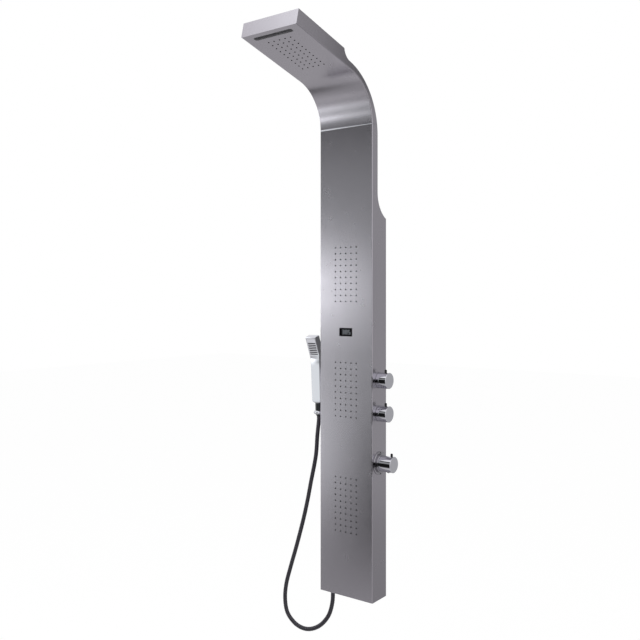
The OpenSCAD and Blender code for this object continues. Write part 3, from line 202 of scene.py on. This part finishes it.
def make_materials(finishes):
    """Every finish of the part, by the record's material slot."""
    steel, chrome = list(finishes.steel), list(finishes.chrome)
    return {
        # Stainless sheet, brushed along the column: the belt's lines are under 0.1 mm, so they are drawn
        # 2 mm wide and 160 mm long, and give the soft lengthwise sheen of satin steel.
        "stainless": metal("BrushedStainlessSheet", steel, (0.25, 0.275), 2.0, (1, 1, 80), 0.02, 0.002),
        # Chrome plate on polished brass: a mirror with only faint polishing marks.
        "chrome": metal("ChromePlatedBrass", chrome, (0.03, 0.06), 6.0, (1, 1, 1), 0.01, 0.0003),
        # The thermostat's cover plate, turned and chromed without a polish: rougher than the knobs, and its
        # colour darker than theirs as painted shade.
        "satin_chrome_painted_shade": metal("SatinChromedBrass", linear("#a7a5ab"), (0.2, 0.26), 2.0, (1, 1, 1), 0.02,
                              0.001),
        # Brass as cast and turned: duller, yellow, with fine tool marks.
        "brass": metal("TurnedBrass", linear("#b08d4a"), (0.25, 0.4), 1.5, (1, 1, 1), 0.08, 0.01),
        # Zinc plated steel: bluish and slightly cloudy.
        "zinc_steel": metal("ZincPlatedSteel", linear("#a9adb3"), (0.3, 0.45), 3.0, (1, 1, 1), 0.06, 0.004),
        # ABS, moulded and left matt: the chambers and pipes inside.
        "white_plastic": moulded("MouldedABS", linear("#dedbd3"), (0.4, 0.55), 1.0, 0.01),
        # Silicone rubber: dark, soft sheen.
        "nozzle_rubber": moulded("SiliconeRubber", list(finishes.rubber), (0.6, 0.75), 0.8, 0.01,
                                 **{"Specular IOR Level": 0.1}),
        # ABS, moulded and left matt: the waterfall's spout, whose mid-grey is painted light that brightens
        # the slot the lamps hardly reach.
        "grey_plastic": moulded("MouldedGreyABS", linear("#8d8c90"), (0.45, 0.6), 1.0, 0.01),
        # ABS, moulded and polished: black with a sharp reflection.
        "black_plastic": moulded("PolishedBlackABS", linear("#17171a"), (0.12, 0.2), 1.2, 0.002),
        # The same ABS from an etched mould, which mirrors little: the display's frame.
        "matt_black": moulded("EtchedBlackABS", linear("#0d0c10"), (0.3, 0.4), 0.6, 0.006,
                              **{"Specular IOR Level": 0.04}),
        # Polycarbonate window, tinted dark and clear enough for the digits behind it.
        "display_glass": display_window_material(),
        # Light digits, lit from behind: they glow faintly.
        "digit_print": moulded("BacklitDigits", list(finishes.digits), (0.4, 0.5), 0.5, 0.001, 0.03,
                               **{"Emission Color": list(finishes.digits) + [1], "Emission Strength": 1.4}),
        # Interlocked steel hose, chromed: darker than the knobs because its grooves shade each other.
        "hose_metal": metal("ChromedSteelHose", list(finishes.hose), (0.16, 0.26), 1.5, (1, 1, 1), 0.05,
                            0.002),
        # Hard drawn spring wire.
        "spring_steel": metal("DrawnSpringWire", linear("#a5a6aa"), (0.2, 0.3), 0.5, (1, 1, 1), 0.04, 0.001),
    }


def display_window_material():
    """Tinted window: a polished surface, mostly see-through."""
    material, tree, out = new_material("TintedPolycarbonate")
    marks = grain(tree, 8)
    clear = add(tree, "ShaderNodeBsdfTransparent", {"Color": linear("#d6d6d8") + [1]})
    shader = add(tree, "ShaderNodeBsdfPrincipled", {
        "Base Color": tinted(tree, marks, linear("#1c1c20"), 0.1),
        "Roughness": spread(tree, marks, 0.05, 0.09), "IOR": 1.58, "Specular IOR Level": 0.04})
    mixed = add(tree, "ShaderNodeMixShader", {0: 0.7, 1: shader.outputs[0], 2: clear.outputs[0]})
    tree.links.new(mixed.outputs[0], out.inputs["Surface"])
    return material


# Meshes


def mesh_object(name, vertices, faces, material, smooth=True):
    """A mesh from points and faces, with its normals outward and one material."""
    mesh = bpy.data.meshes.new(name)
    mesh.from_pydata([tuple(v) for v in vertices], [], faces)
    mesh.validate()
    bm = bmesh.new()
    bm.from_mesh(mesh)
    bmesh.ops.recalc_face_normals(bm, faces=bm.faces)
    bm.to_mesh(mesh)
    bm.free()
    for polygon in mesh.polygons:
        polygon.use_smooth = smooth
    mesh.materials.append(material)
    piece = bpy.data.objects.new(name, mesh)
    bpy.context.collection.objects.link(piece)
    return piece


def baked(piece):
    """The piece with its modifiers applied, as a plain mesh at the origin."""
    bpy.context.view_layer.update()
    mesh = bpy.data.meshes.new_from_object(piece.evaluated_get(bpy.context.evaluated_depsgraph_get()))
    mesh.transform(piece.matrix_world)
    old, name = piece.data, piece.name
    bpy.data.objects.remove(piece)
    if old.users == 0:
        bpy.data.meshes.remove(old)
    mesh.name = name
    done = bpy.data.objects.new(name, mesh)
    bpy.context.collection.objects.link(done)
    return done


def tube_faces(rings, sides):
    """Faces of a closed tube whose vertices come ring by ring."""
    faces = []
    for start in range(0, (rings - 1) * sides, sides):
        for k in range(sides):
            after = (k + 1) % sides
            faces.append((start + k, start + after, start + sides + after, start + sides + k))
    faces.append(tuple(reversed(range(sides))))
    faces.append(tuple(range((rings - 1) * sides, rings * sides)))
    return faces


def turns(sides):
    """Angles of a ring's vertices."""
    return (2 * math.pi * k / sides for k in range(sides))


def rounded_outline(width, depth, radius, steps=6):
    """A rectangle with round corners, centred, anticlockwise, as (x, y) pairs."""
    points = []
    for cx, cy, start in ((1, 1, 0), (-1, 1, 90), (-1, -1, 180), (1, -1, 270)):
        for i in range(steps + 1):
            a = math.radians(start + 90 * i / steps)
            points.append((cx * (width / 2 - radius) + radius * math.cos(a),
                           cy * (depth / 2 - radius) + radius * math.sin(a)))
    return points


# Hose: the same route as the solid's, in millimetres above the column's lower edge
ROUTE = [
    (-137, -38, 556), (-137, -38, 539), (-143, -38, 490), (-149.5, -38, 420),
    (-170, -38, 330), (-184, -38, 268), (-201, -39, 201), (-228, -39, 113),
    (-254.5, -40, 32), (-273.5, -40, -30), (-279, -40, -82), (-269, -40, -127),
    (-240, -38, -156), (-205, -37, -166), (-169, -36, -160), (-132, -34, -138),
    (-102, -32, -101), (-88, -30, -57), (-85, -30, -12), (-85, -30, 8),
]
ROUTE_SAMPLES = 20  # points from one of these to the next
HOSE_SIDES = 20
HOSE_STRAIGHT = 7 * MM  # straight length at either end, inside the nut and the cone


def route_points():
    """Points along the smooth curve through ROUTE, and the distance run at each."""
    route, last = [place(*p) for p in ROUTE], len(ROUTE) - 1
    points = []
    for i in range(last * ROUTE_SAMPLES + 1):
        k = min(i // ROUTE_SAMPLES, last - 1)
        t = i / ROUTE_SAMPLES - k
        a, b, c, d = route[max(k - 1, 0)], route[k], route[k + 1], route[min(k + 2, last)]
        points.append(0.5 * (2 * b + (c - a) * t + (2 * a - 5 * b + 4 * c - d) * t * t
                             + (3 * b - a - 3 * c + d) * t ** 3))
    runs = [0.0]
    for a, b in zip(points, points[1:]):
        runs.append(runs[-1] + (b - a).length)
    return points, runs


def along(points, runs, s):
    """The point and heading at a distance s along the route."""
    s = min(max(s, 0.0), runs[-1])
    i = next((k for k in range(len(runs) - 1) if runs[k + 1] >= s), len(runs) - 2)
    step = points[i + 1] - points[i]
    return points[i] + step * ((s - runs[i]) / (runs[i + 1] - runs[i])), step.normalized()


# The camera as it was fitted to the picture: place in millimetres, turn to the left in degrees
CAMERA_PLACE = (1405, -2117, 950)
CAMERA_TURN = 36.48
FLOOR_HEIGHT = -450
FLOOR_REACH = 12  # metres from the origin to each side

WHITE = (1, 1, 1, 1)
COOL_WHITE = (0.965, 1.0, 0.985, 1)  # the front's cards, whose light in the photograph is a little cooler

# Where a card stands: the way to it from the column's front, and the way that its span runs. The front
# mirrors what stands in front to the left, and the side mirrors what stands behind to the right.
RIGHT = Vector((0.804, -0.594, 0))
FRONT = Vector((-0.594, -0.804, 0)), RIGHT
SIDE = Vector((0.594, 0.804, 0)), RIGHT
AHEAD = Vector((0, -1, 0)), Vector((1, 0, 0))
LEFT = Vector((-1, 0, 0)), Vector((0, 1, 0))

# Name, direction, distance (near and far for one that lies flat), span to the right, span of heights over
# the column's lower edge (metres), level, and the soft edges' widths: left, right, lower, upper
CARDS = (
    ("GreyWall", FRONT, 3.4, (-3.2, 3.2), (-2.0, 3.0), 0.27, (0.3, 0.3, 0.3, 0.3)),
    ("LeftPanel", FRONT, 3.2, (-2.6, 0.34), (-0.9, 0.80), 2.3, (0.3, 0.95, 0.2, 0.90)),
    ("BrightStrip", FRONT, 3.0, (-2.6, 0.50), (0.62, 1.38), 5.6, (0.3, 1.05, 0.40, 0.40)),
    ("UpperGrey", FRONT, 2.9, (-3.0, 3.0), (1.40, 2.1), 0.40, (0.3, 0.3, 0.2, 0.2)),
    ("DarkBand", FRONT, 2.8, (-3.0, 3.0), (1.85, 2.75), 0.02, (0.3, 0.3, 0.35, 0.1)),
    ("HeadSoftbox", FRONT, 2.7, (-0.56, 2.6), (3.35, 4.8), 2.15, (0.22, 0.3, 0.50, 0.3)),
    ("LowFlag", FRONT, 1.5, (-0.02, 1.1), (-0.43, 0.46), 0.0, (0.20, 0.2, 0.22, 0.26)),
    ("BackRight", SIDE, 2.6, (-2.6, 2.6), (-0.44, 4.5), 0.50, (0.4, 0.4, 0.0, 0.4)),
    ("FloorBackRight", SIDE, (0.5, 2.6), (-2.2, 2.2), (-0.40, -0.40), 0.38, (0.3, 0.3, 0.3, 0.0)),
    ("HeadSideFlag", SIDE, 0.8, (-0.6, 0.27), (1.72, 2.3), 0.10, (0.1, 0.22, 0.10, 0.1)),
    ("FloorFlagLeft", FRONT, (0.60, 1.5), (-2.0, -0.90), (-0.40, -0.40), 0.05, (0.3, 0.12, 0.20, 0.5)),
    ("FloorFlagRight", FRONT, (1.3, 2.9), (0.0, 1.1), (-0.41, -0.41), 0.05, (0.35, 0.2, 0.3, 0.4)),
    ("FloorFront", FRONT, (0.9, 2.6), (-0.9, 0.9), (-0.43, -0.43), 0.42, (0.3, 0.3, 0.2, 0.4)),
    ("FloorHand", FRONT, (1.35, 2.4), (-0.85, -0.25), (-0.41, -0.41), 0.88, (0.2, 0.15, 0.3, 0.4)),
    ("HandFlag", LEFT, 0.112, (-0.014, 0.05), (0.70, 0.85), 0.14, (0.006, 0.02, 0.03, 0.0)),
    ("HandPanel", FRONT, 0.12, (-0.18, -0.098), (0.55, 0.73), 1.05, (0.03, 0.004, 0.02, 0.02)),
    ("NeckCard", AHEAD, 0.002, (-0.1, 0.1), (1.20, 1.485), 0.70, (0.01, 0.01, 0.06, 0.0)),
    ("KnobFlagUpper", AHEAD, 0.010, (0.094, 0.165), (0.648, 0.702), 0.01, (0, 0, 0.022, 0.003)),
    ("KnobFlagLower", AHEAD, 0.010, (0.094, 0.165), (0.544, 0.598), 0.01, (0, 0, 0.022, 0.003)),
    ("KnobFlagFoot", AHEAD, 0.010, (0.094, 0.180), (0.386, 0.442), 0.01, (0, 0, 0.022, 0.003)),
)


class SHOWER_OT_stage(bpy.types.Operator):
    """Camera at the photograph's angle, pale floor, white surroundings and soft lamps with their cards"""

    bl_idname = "shower.stage"
    bl_label = "Stage and camera"

    def execute(self, context):
        camera = bpy.data.objects.new("Camera", bpy.data.cameras.new("Camera"))
        context.collection.objects.link(camera)
        camera.data.sensor_width = 36
        camera.data.lens = 43.96
        camera.data.shift_y = -0.0371
        camera.data.clip_end = 50
        camera.location = place(*CAMERA_PLACE)
        camera.rotation_euler = (math.pi / 2, 0, math.radians(CAMERA_TURN))
        context.scene.camera = camera
        context.scene.view_settings.view_transform = "Standard"
        self.surroundings(context)
        self.floor()
        # Name, place, aim, size (metres) and power (watts)
        for name, spot, aim, size, energy in (
                ("KeyLamp", (-0.4, -3.2, 1.4), (0, 0, -0.2), 2.2, 26),
                ("SideLamp", (3.2, -1.0, 0.8), (0, 0, -0.3), 2.0, 16),
                ("TopLamp", (0.3, -1.0, 2.6), (0, -0.2, 0), 1.6, 12)):
            lamp = bpy.data.objects.new(name, bpy.data.lights.new(name, "AREA"))
            lamp.data.energy, lamp.data.size = energy, size
            lamp.location = spot
            lamp.rotation_euler = (Vector(aim) - Vector(spot)).to_track_quat("-Z", "Y").to_euler()
            lamp.visible_glossy = False
            context.collection.objects.link(lamp)
        self.cards()
        return {"FINISHED"}

    def surroundings(self, context):
        """White where the camera, metal and glass look, and gentle where it lights."""
        world = bpy.data.worlds.new("WhiteStudio")
        context.scene.world = world
        world.use_nodes = True
        tree = world.node_tree
        tree.nodes.clear()
        path = add(tree, "ShaderNodeLightPath")
        seen = maths(tree, "ADD", path.outputs["Is Camera Ray"], path.outputs["Is Glossy Ray"])
        seen = maths(tree, "ADD", seen, path.outputs["Is Transmission Ray"], use_clamp=True)
        level = add(tree, "ShaderNodeMapRange", {"Value": seen, "To Min": 0.55, "To Max": 1.0})
        light = add(tree, "ShaderNodeBackground", {"Color": WHITE, "Strength": level.outputs[0]})
        add(tree, "ShaderNodeOutputWorld", {"Surface": light.outputs[0]})

    def floor(self):
        """A pale floor under the hanging column: white for the camera and a little less so for metal."""
        material, tree, out = new_material("PaleFloor")
        path = add(tree, "ShaderNodeLightPath")
        speckle = grain(tree, 60)
        seen = maths(tree, "ADD", path.outputs["Is Camera Ray"], path.outputs["Is Glossy Ray"],
                     use_clamp=True)
        share = maths(tree, "MULTIPLY", seen, 0.9)
        level = add(tree, "ShaderNodeMapRange", {"Value": path.outputs["Is Camera Ray"], "To Min": 0.60,
                                                 "To Max": 1.05})
        matt = add(tree, "ShaderNodeBsdfDiffuse", {"Color": tinted(tree, speckle, [0.8, 0.8, 0.8], 0.01)})
        glow = add(tree, "ShaderNodeEmission", {"Color": WHITE, "Strength": level.outputs[0]})
        mixed = add(tree, "ShaderNodeMixShader", {0: share, 1: matt.outputs[0], 2: glow.outputs[0]})
        tree.links.new(mixed.outputs[0], out.inputs["Surface"])
        z = place(0, 0, FLOOR_HEIGHT)[2]
        corners = [(x * FLOOR_REACH, y * FLOOR_REACH, z) for x, y in ((-1, -1), (1, -1), (1, 1), (-1, 1))]
        ground = mesh_object("Floor", corners, [(0, 1, 2, 3)], material, False)

    def cards(self):
        """Cards that only metal and glass see."""
        for name, way, away, span, heights, level, soft in CARDS:
            lying = isinstance(away, tuple)
            near, far = away if lying else (away, away)
            material, tree, out = new_material(name)
            coords = add(tree, "ShaderNodeTexCoord")
            parts = add(tree, "ShaderNodeSeparateXYZ", {0: coords.outputs["UV"]})
            cover = None
            for axis, (low, high), edges in ((0, span, soft[:2]), (1, away if lying else heights, soft[2:])):
                for end, width in ((0.0, edges[0]), (1.0, -edges[1])):
                    if width:
                        ramp = {"Value": parts.outputs[axis], "From Min": end,
                                "From Max": end + width / (high - low), "To Min": 0.0, "To Max": 1.0}
                        edge = add(tree, "ShaderNodeMapRange", ramp, interpolation_type="SMOOTHSTEP")
                        edge = edge.outputs[0]
                        cover = edge if cover is None else maths(tree, "MULTIPLY", cover, edge)
            if name == "NeckCard":  # seen only from the bend above it, and not by the steel behind it
                back = add(tree, "ShaderNodeNewGeometry").outputs["Backfacing"]
                cover = maths(tree, "MULTIPLY", cover, maths(tree, "SUBTRACT", 1.0, back))
            tint = COOL_WHITE if way is FRONT and not lying else WHITE
            glow = add(tree, "ShaderNodeEmission", {"Color": tint, "Strength": level})
            clear = add(tree, "ShaderNodeBsdfTransparent")
            mixed = add(tree, "ShaderNodeMixShader", {0: cover, 1: clear.outputs[0], 2: glow.outputs[0]})
            tree.links.new(mixed.outputs[0], out.inputs["Surface"])
            corners = [place(0, -COLUMN_DEPTH, 0) + way[0] * d + way[1] * u + Vector((0, 0, h))
                       for u, d, h in ((span[0], near, heights[0]), (span[1], near, heights[0]),
                                       (span[1], far, heights[1]), (span[0], far, heights[1]))]
            card = mesh_object(name, corners, [(0, 1, 2, 3)], material, False)
            layer = card.data.uv_layers.new(name="UVMap")
            for loop in card.data.loops:
                layer.data[loop.index].uv = ((0, 0), (1, 0), (1, 1), (0, 1))[loop.vertex_index]
            card.visible_camera = card.visible_diffuse = card.visible_shadow = False


class SHOWER_OT_hose(bpy.types.Operator):
    """Ribbed metal hose from the column's lower edge to the hand shower's cone"""

    bl_idname = "shower.hose"
    bl_label = "Hose"

    def execute(self, context):
        sizes = context.scene.shower_sizes
        points, runs = route_points()
        length, radius = runs[-1], sizes.hose_diameter / 2
        rib = length / sizes.hose_ribs
        # Share of a rib's length, and share of the groove's depth there
        profile = ((0.0, 1.0), (0.12, 0.35), (0.3, 0.0), (0.7, 0.0), (0.88, 0.35))
        vertices, rings = [], 0
        for i in range(sizes.hose_ribs):
            for share, depth in profile:
                vertices += self.ring(points, runs, (i + share) * rib, radius - depth * sizes.rib_depth)
                rings += 1
        vertices += self.ring(points, runs, length, radius - sizes.rib_depth)
        faces = tube_faces(rings + 1, HOSE_SIDES)
        piece = mesh_object("RibbedHose", vertices, faces, MATERIALS["hose_metal"])
        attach(piece, "column")
        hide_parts("hose")
        return {"FINISHED"}

    def ring(self, points, runs, s, radius):
        """One ring of the hose's vertices, at a distance s along the route."""
        centre, heading = along(points, runs, s)
        if s < HOSE_STRAIGHT:
            heading = Vector((0, 0, -1))
        elif s > runs[-1] - HOSE_STRAIGHT:
            heading = Vector((0, 0, 1))
        across = Vector((0, 1, 0))
        up = heading.cross(across).normalized()
        across = up.cross(heading).normalized()
        return [centre + radius * (math.cos(a) * across + math.sin(a) * up) for a in turns(HOSE_SIDES)]


# Pieces whose surface differs from their slot's usual one; the thermostat plate's darker colour is painted
# shade
OTHER_FINISH = {"thermostat_plate": "satin_chrome_painted_shade", "display_bezel": "matt_black"}


class SHOWER_OT_finishes(bpy.types.Operator):
    """Gives every solid of the model its finish"""

    bl_idname = "shower.finishes"
    bl_label = "Finishes of the solids"

    def execute(self, context):
        MATERIALS.update(make_materials(context.scene.shower_finishes))
        slots = {s["node"]: s["material_slot"] for s in frame["record"]["subparts"]}
        for name, node in NODES.items():
            node.data.materials.clear()
            node.data.materials.append(MATERIALS[OTHER_FINISH.get(name, slots[name])])
        return {"FINISHED"}


PLATE_AREA = 3 * MM * MM  # faces from this size up belong to a mat's plate and stay flat


class SHOWER_OT_nozzles(bpy.types.Operator):
    """Soft nozzles with rounded tips on their mats, repeated by Geometry Nodes"""

    bl_idname = "shower.nozzles"
    bl_label = "Nozzle mats"

    def execute(self, context):
        sizes = context.scene.shower_sizes
        tip = self.tip(sizes)
        tree = self.tree(tip)
        for node, height in JET_HEIGHTS.items():
            front = (Matrix.Translation(place(0, SHEET - COLUMN_DEPTH, height))
                     @ Matrix.Rotation(math.pi / 2, 4, "X"))
            self.mat(context, tree, node, JET_PITCH, front)
        middle = HEAD_LENGTH - RAIN_IN - (NOZZLE_ROWS - 1) / 2 * RAIN_PITCH
        head = (Matrix.Translation(place(*BEND_AXIS)) @ Matrix.Rotation(math.radians(BEND_ANGLE - 90), 4, "X")
                @ Matrix.Translation(Vector((0, -middle, BEND_RADIUS + SHEET)) * MM)
                @ Matrix.Rotation(math.pi, 4, "X"))
        self.mat(context, tree, "rain_nozzle_mat", RAIN_PITCH, head)
        bpy.data.objects.remove(tip)
        bpy.data.node_groups.remove(tree)
        return {"FINISHED"}

    def tip(self, sizes):
        """One nozzle: a round stem with a rolled edge and a small jet hole, standing on +Z."""
        r, out = sizes.nozzle_radius, sizes.nozzle_out
        stem, roll, hole = 1.5 * MM, 0.5 * MM, 0.7 * MM
        top = stem + out
        # Distance from the nozzle's axis and height of each ring
        profile = [(r, 0), (r, top - roll), (r - 0.15 * roll, top - 0.4 * roll),
                   (r - 0.5 * roll, top - 0.1 * roll), (r - roll, top), (hole + 0.1 * MM, top),
                   (hole, top - 0.1 * MM), (hole, top - 1.2 * MM)]
        sides = 16
        vertices = [Vector((out_by * math.cos(a), out_by * math.sin(a), up)) for out_by, up in profile
                    for a in turns(sides)]
        return mesh_object("NozzleTip", vertices, tube_faces(len(profile), sides), MATERIALS["nozzle_rubber"])

    def tree(self, tip):
        """A plate with tips on a grid: its inputs are the plate's sizes, the counts and the pitches."""
        tree = bpy.data.node_groups.new("NozzleGrid", "GeometryNodeTree")
        for name, kind, value in (("Columns", "Int", 5), ("Rows", "Int", NOZZLE_ROWS),
                                  ("Column pitch", "Float", 20 * MM), ("Row pitch", "Float", JET_PITCH * MM),
                                  ("Edge", "Float", 8 * MM), ("Thickness", "Float", 2 * MM)):
            socket = tree.interface.new_socket(name, in_out="INPUT", socket_type="NodeSocket" + kind)
            socket.default_value = value
        tree.interface.new_socket("Geometry", in_out="OUTPUT", socket_type="NodeSocketGeometry")
        given = add(tree, "NodeGroupInput").outputs
        spans = []
        for count, pitch in (("Columns", "Column pitch"), ("Rows", "Row pitch")):
            spans.append(maths(tree, "MULTIPLY", maths(tree, "SUBTRACT", given[count], 1.0), given[pitch]))
        grid = add(tree, "GeometryNodeMeshGrid", {"Size X": spans[0], "Vertices X": given["Columns"],
                                                  "Size Y": spans[1], "Vertices Y": given["Rows"]})
        shape = add(tree, "GeometryNodeObjectInfo", {"Object": tip})
        tips = add(tree, "GeometryNodeInstanceOnPoints", {"Points": grid.outputs["Mesh"],
                                                          "Instance": shape.outputs["Geometry"]})
        wide = [add(tree, "ShaderNodeMath", {0: given["Edge"], 1: 2.0, 2: span},
                    operation="MULTIPLY_ADD").outputs[0] for span in spans]
        size = add(tree, "ShaderNodeCombineXYZ", {0: wide[0], 1: wide[1], 2: given["Thickness"]})
        plate = add(tree, "GeometryNodeMeshCube", {"Size": size.outputs[0]})
        drop = add(tree, "ShaderNodeCombineXYZ", {2: maths(tree, "MULTIPLY", given["Thickness"], -0.5)})
        lowered = add(tree, "GeometryNodeTransform", {"Geometry": plate.outputs["Mesh"],
                                                      "Translation": drop.outputs[0]})
        joined = add(tree, "GeometryNodeJoinGeometry")
        tree.links.new(tips.outputs[0], joined.inputs[0])
        tree.links.new(lowered.outputs[0], joined.inputs[0])
        real = add(tree, "GeometryNodeRealizeInstances", {0: joined.outputs[0]})
        done = add(tree, "GeometryNodeSetMaterial", {"Geometry": real.outputs[0],
                                                     "Material": MATERIALS["nozzle_rubber"]})
        add(tree, "NodeGroupOutput", {0: done.outputs[0]})
        return tree

    def mat(self, context, tree, node, pitch, at):
        """A mat's plate with its nozzles, in place of the solid of that name."""
        piece = bpy.data.objects.new("Soft_" + node, bpy.data.meshes.new("Soft_" + node))
        context.collection.objects.link(piece)
        modifier = piece.modifiers.new("Grid", "NODES")
        modifier.node_group = tree
        named = {item.name: item.identifier for item in tree.interface.items_tree if item.in_out == "INPUT"}
        modifier[named["Row pitch"]] = pitch * MM
        piece.matrix_world = at
        done = baked(piece)
        for polygon in done.data.polygons:
            polygon.use_smooth = len(polygon.vertices) == 4 and polygon.area < PLATE_AREA
        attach(done, "column")
        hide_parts(node)


class SHOWER_OT_hand_shower(bpy.types.Operator):
    """Hand shower's shell, lofted from its round lower end through the handle to the flat head"""

    bl_idname = "shower.hand_shower"
    bl_label = "Hand shower"

    def execute(self, context):
        lean, tilt = math.radians(SHELL_LEAN), math.radians(SHELL_HEAD_LEAN)
        root = Matrix.Translation(place(*SHELL_FOOT)) @ Matrix.Rotation(lean, 4, "X")
        head = root @ Matrix.Translation(Vector(SHELL_HEAD) * MM) @ Matrix.Rotation(tilt - lean, 4, "X")
        taper = 100  # above it the handle's sections keep to the front, below it they are centred
        behind = 11.5  # the head's middle behind its face
        # Height along its own frame, width, depth and corner radius of each section, in millimetres
        handle = ((0, 26, 24, 11), (1.5, 31, 26, 8), (5, 36, 27, 5), (12, 38, 27, 4), (60, 38, 27, 3.4),
                  (112, 38, 27, 3.4), (136, 38.2, 26.6, 3.2), (143, 39, 25.6, 3))
        spray = ((6, 41, 23.4, 2.6), (12, 41.8, 23, 2.2), (40, 42, 23, 2), (70, 42, 23, 2), (72, 41, 22, 1.8),
                 (73, 38.4, 19.4, 1.6))
        vertices = []
        for z, w, d, r in handle:
            shift = -(SHELL_DEPTH - d) / 2 if z > taper else 0
            vertices += [root @ (Vector((x, y + shift, z)) * MM) for x, y in rounded_outline(w, d, r)]
        for z, w, d, r in spray:
            vertices += [head @ (Vector((x, y + behind, z)) * MM) for x, y in rounded_outline(w, d, r)]
        sides = len(rounded_outline(10, 10, 1))
        shell = mesh_object("HandShowerShell", vertices, tube_faces(len(handle) + len(spray), sides),
                            MATERIALS["chrome"])
        pocket = [head @ (Vector((x, y, z)) * MM) for z in (9, 66) for x, y in
                  ((-17, -2), (17, -2), (17, 3.5), (-17, 3.5))]
        cutter = mesh_object("PocketCutter", pocket, tube_faces(2, 4), MATERIALS["chrome"], False)
        cut = shell.modifiers.new("Pocket", "BOOLEAN")
        cut.operation, cut.object, cut.solver = "DIFFERENCE", cutter, "EXACT"
        done = baked(shell)
        bpy.data.objects.remove(cutter)
        done.data.set_sharp_from_angle(angle=math.radians(32))
        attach(done, "hand_shower")
        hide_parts("handset_shell")
        return {"FINISHED"}


class SHOWER_PT_panel(bpy.types.Panel):
    """Lists the steps that build the shower column's looks"""

    bl_idname = "SHOWER_PT_panel"
    bl_label = "Shower panel column"
    bl_space_type = "VIEW_3D"
    bl_region_type = "UI"
    bl_category = "Shower"

    def draw(self, context):
        for operator in OPERATORS:
            self.layout.operator(operator.bl_idname)
        for group in (context.scene.shower_finishes, context.scene.shower_sizes):
            for name in group.__annotations__:
                self.layout.prop(group, name)


OPERATORS = (SHOWER_OT_finishes, SHOWER_OT_stage, SHOWER_OT_hose, SHOWER_OT_nozzles, SHOWER_OT_hand_shower)
CLASSES = (ShowerFinishes, ShowerSizes) + OPERATORS + (SHOWER_PT_panel,)


def register():
    for cls in CLASSES:
        bpy.utils.register_class(cls)
    bpy.types.Scene.shower_finishes = PointerProperty(type=ShowerFinishes)
    bpy.types.Scene.shower_sizes = PointerProperty(type=ShowerSizes)


def unregister():
    del bpy.types.Scene.shower_sizes
    del bpy.types.Scene.shower_finishes
    for cls in reversed(CLASSES):
        bpy.utils.unregister_class(cls)


def main():
    register()
    bpy.ops.shower.finishes()
    bpy.ops.shower.stage()
    bpy.ops.shower.hose()
    bpy.ops.shower.nozzles()
    bpy.ops.shower.hand_shower()


if __name__ == "__main__":
    main()
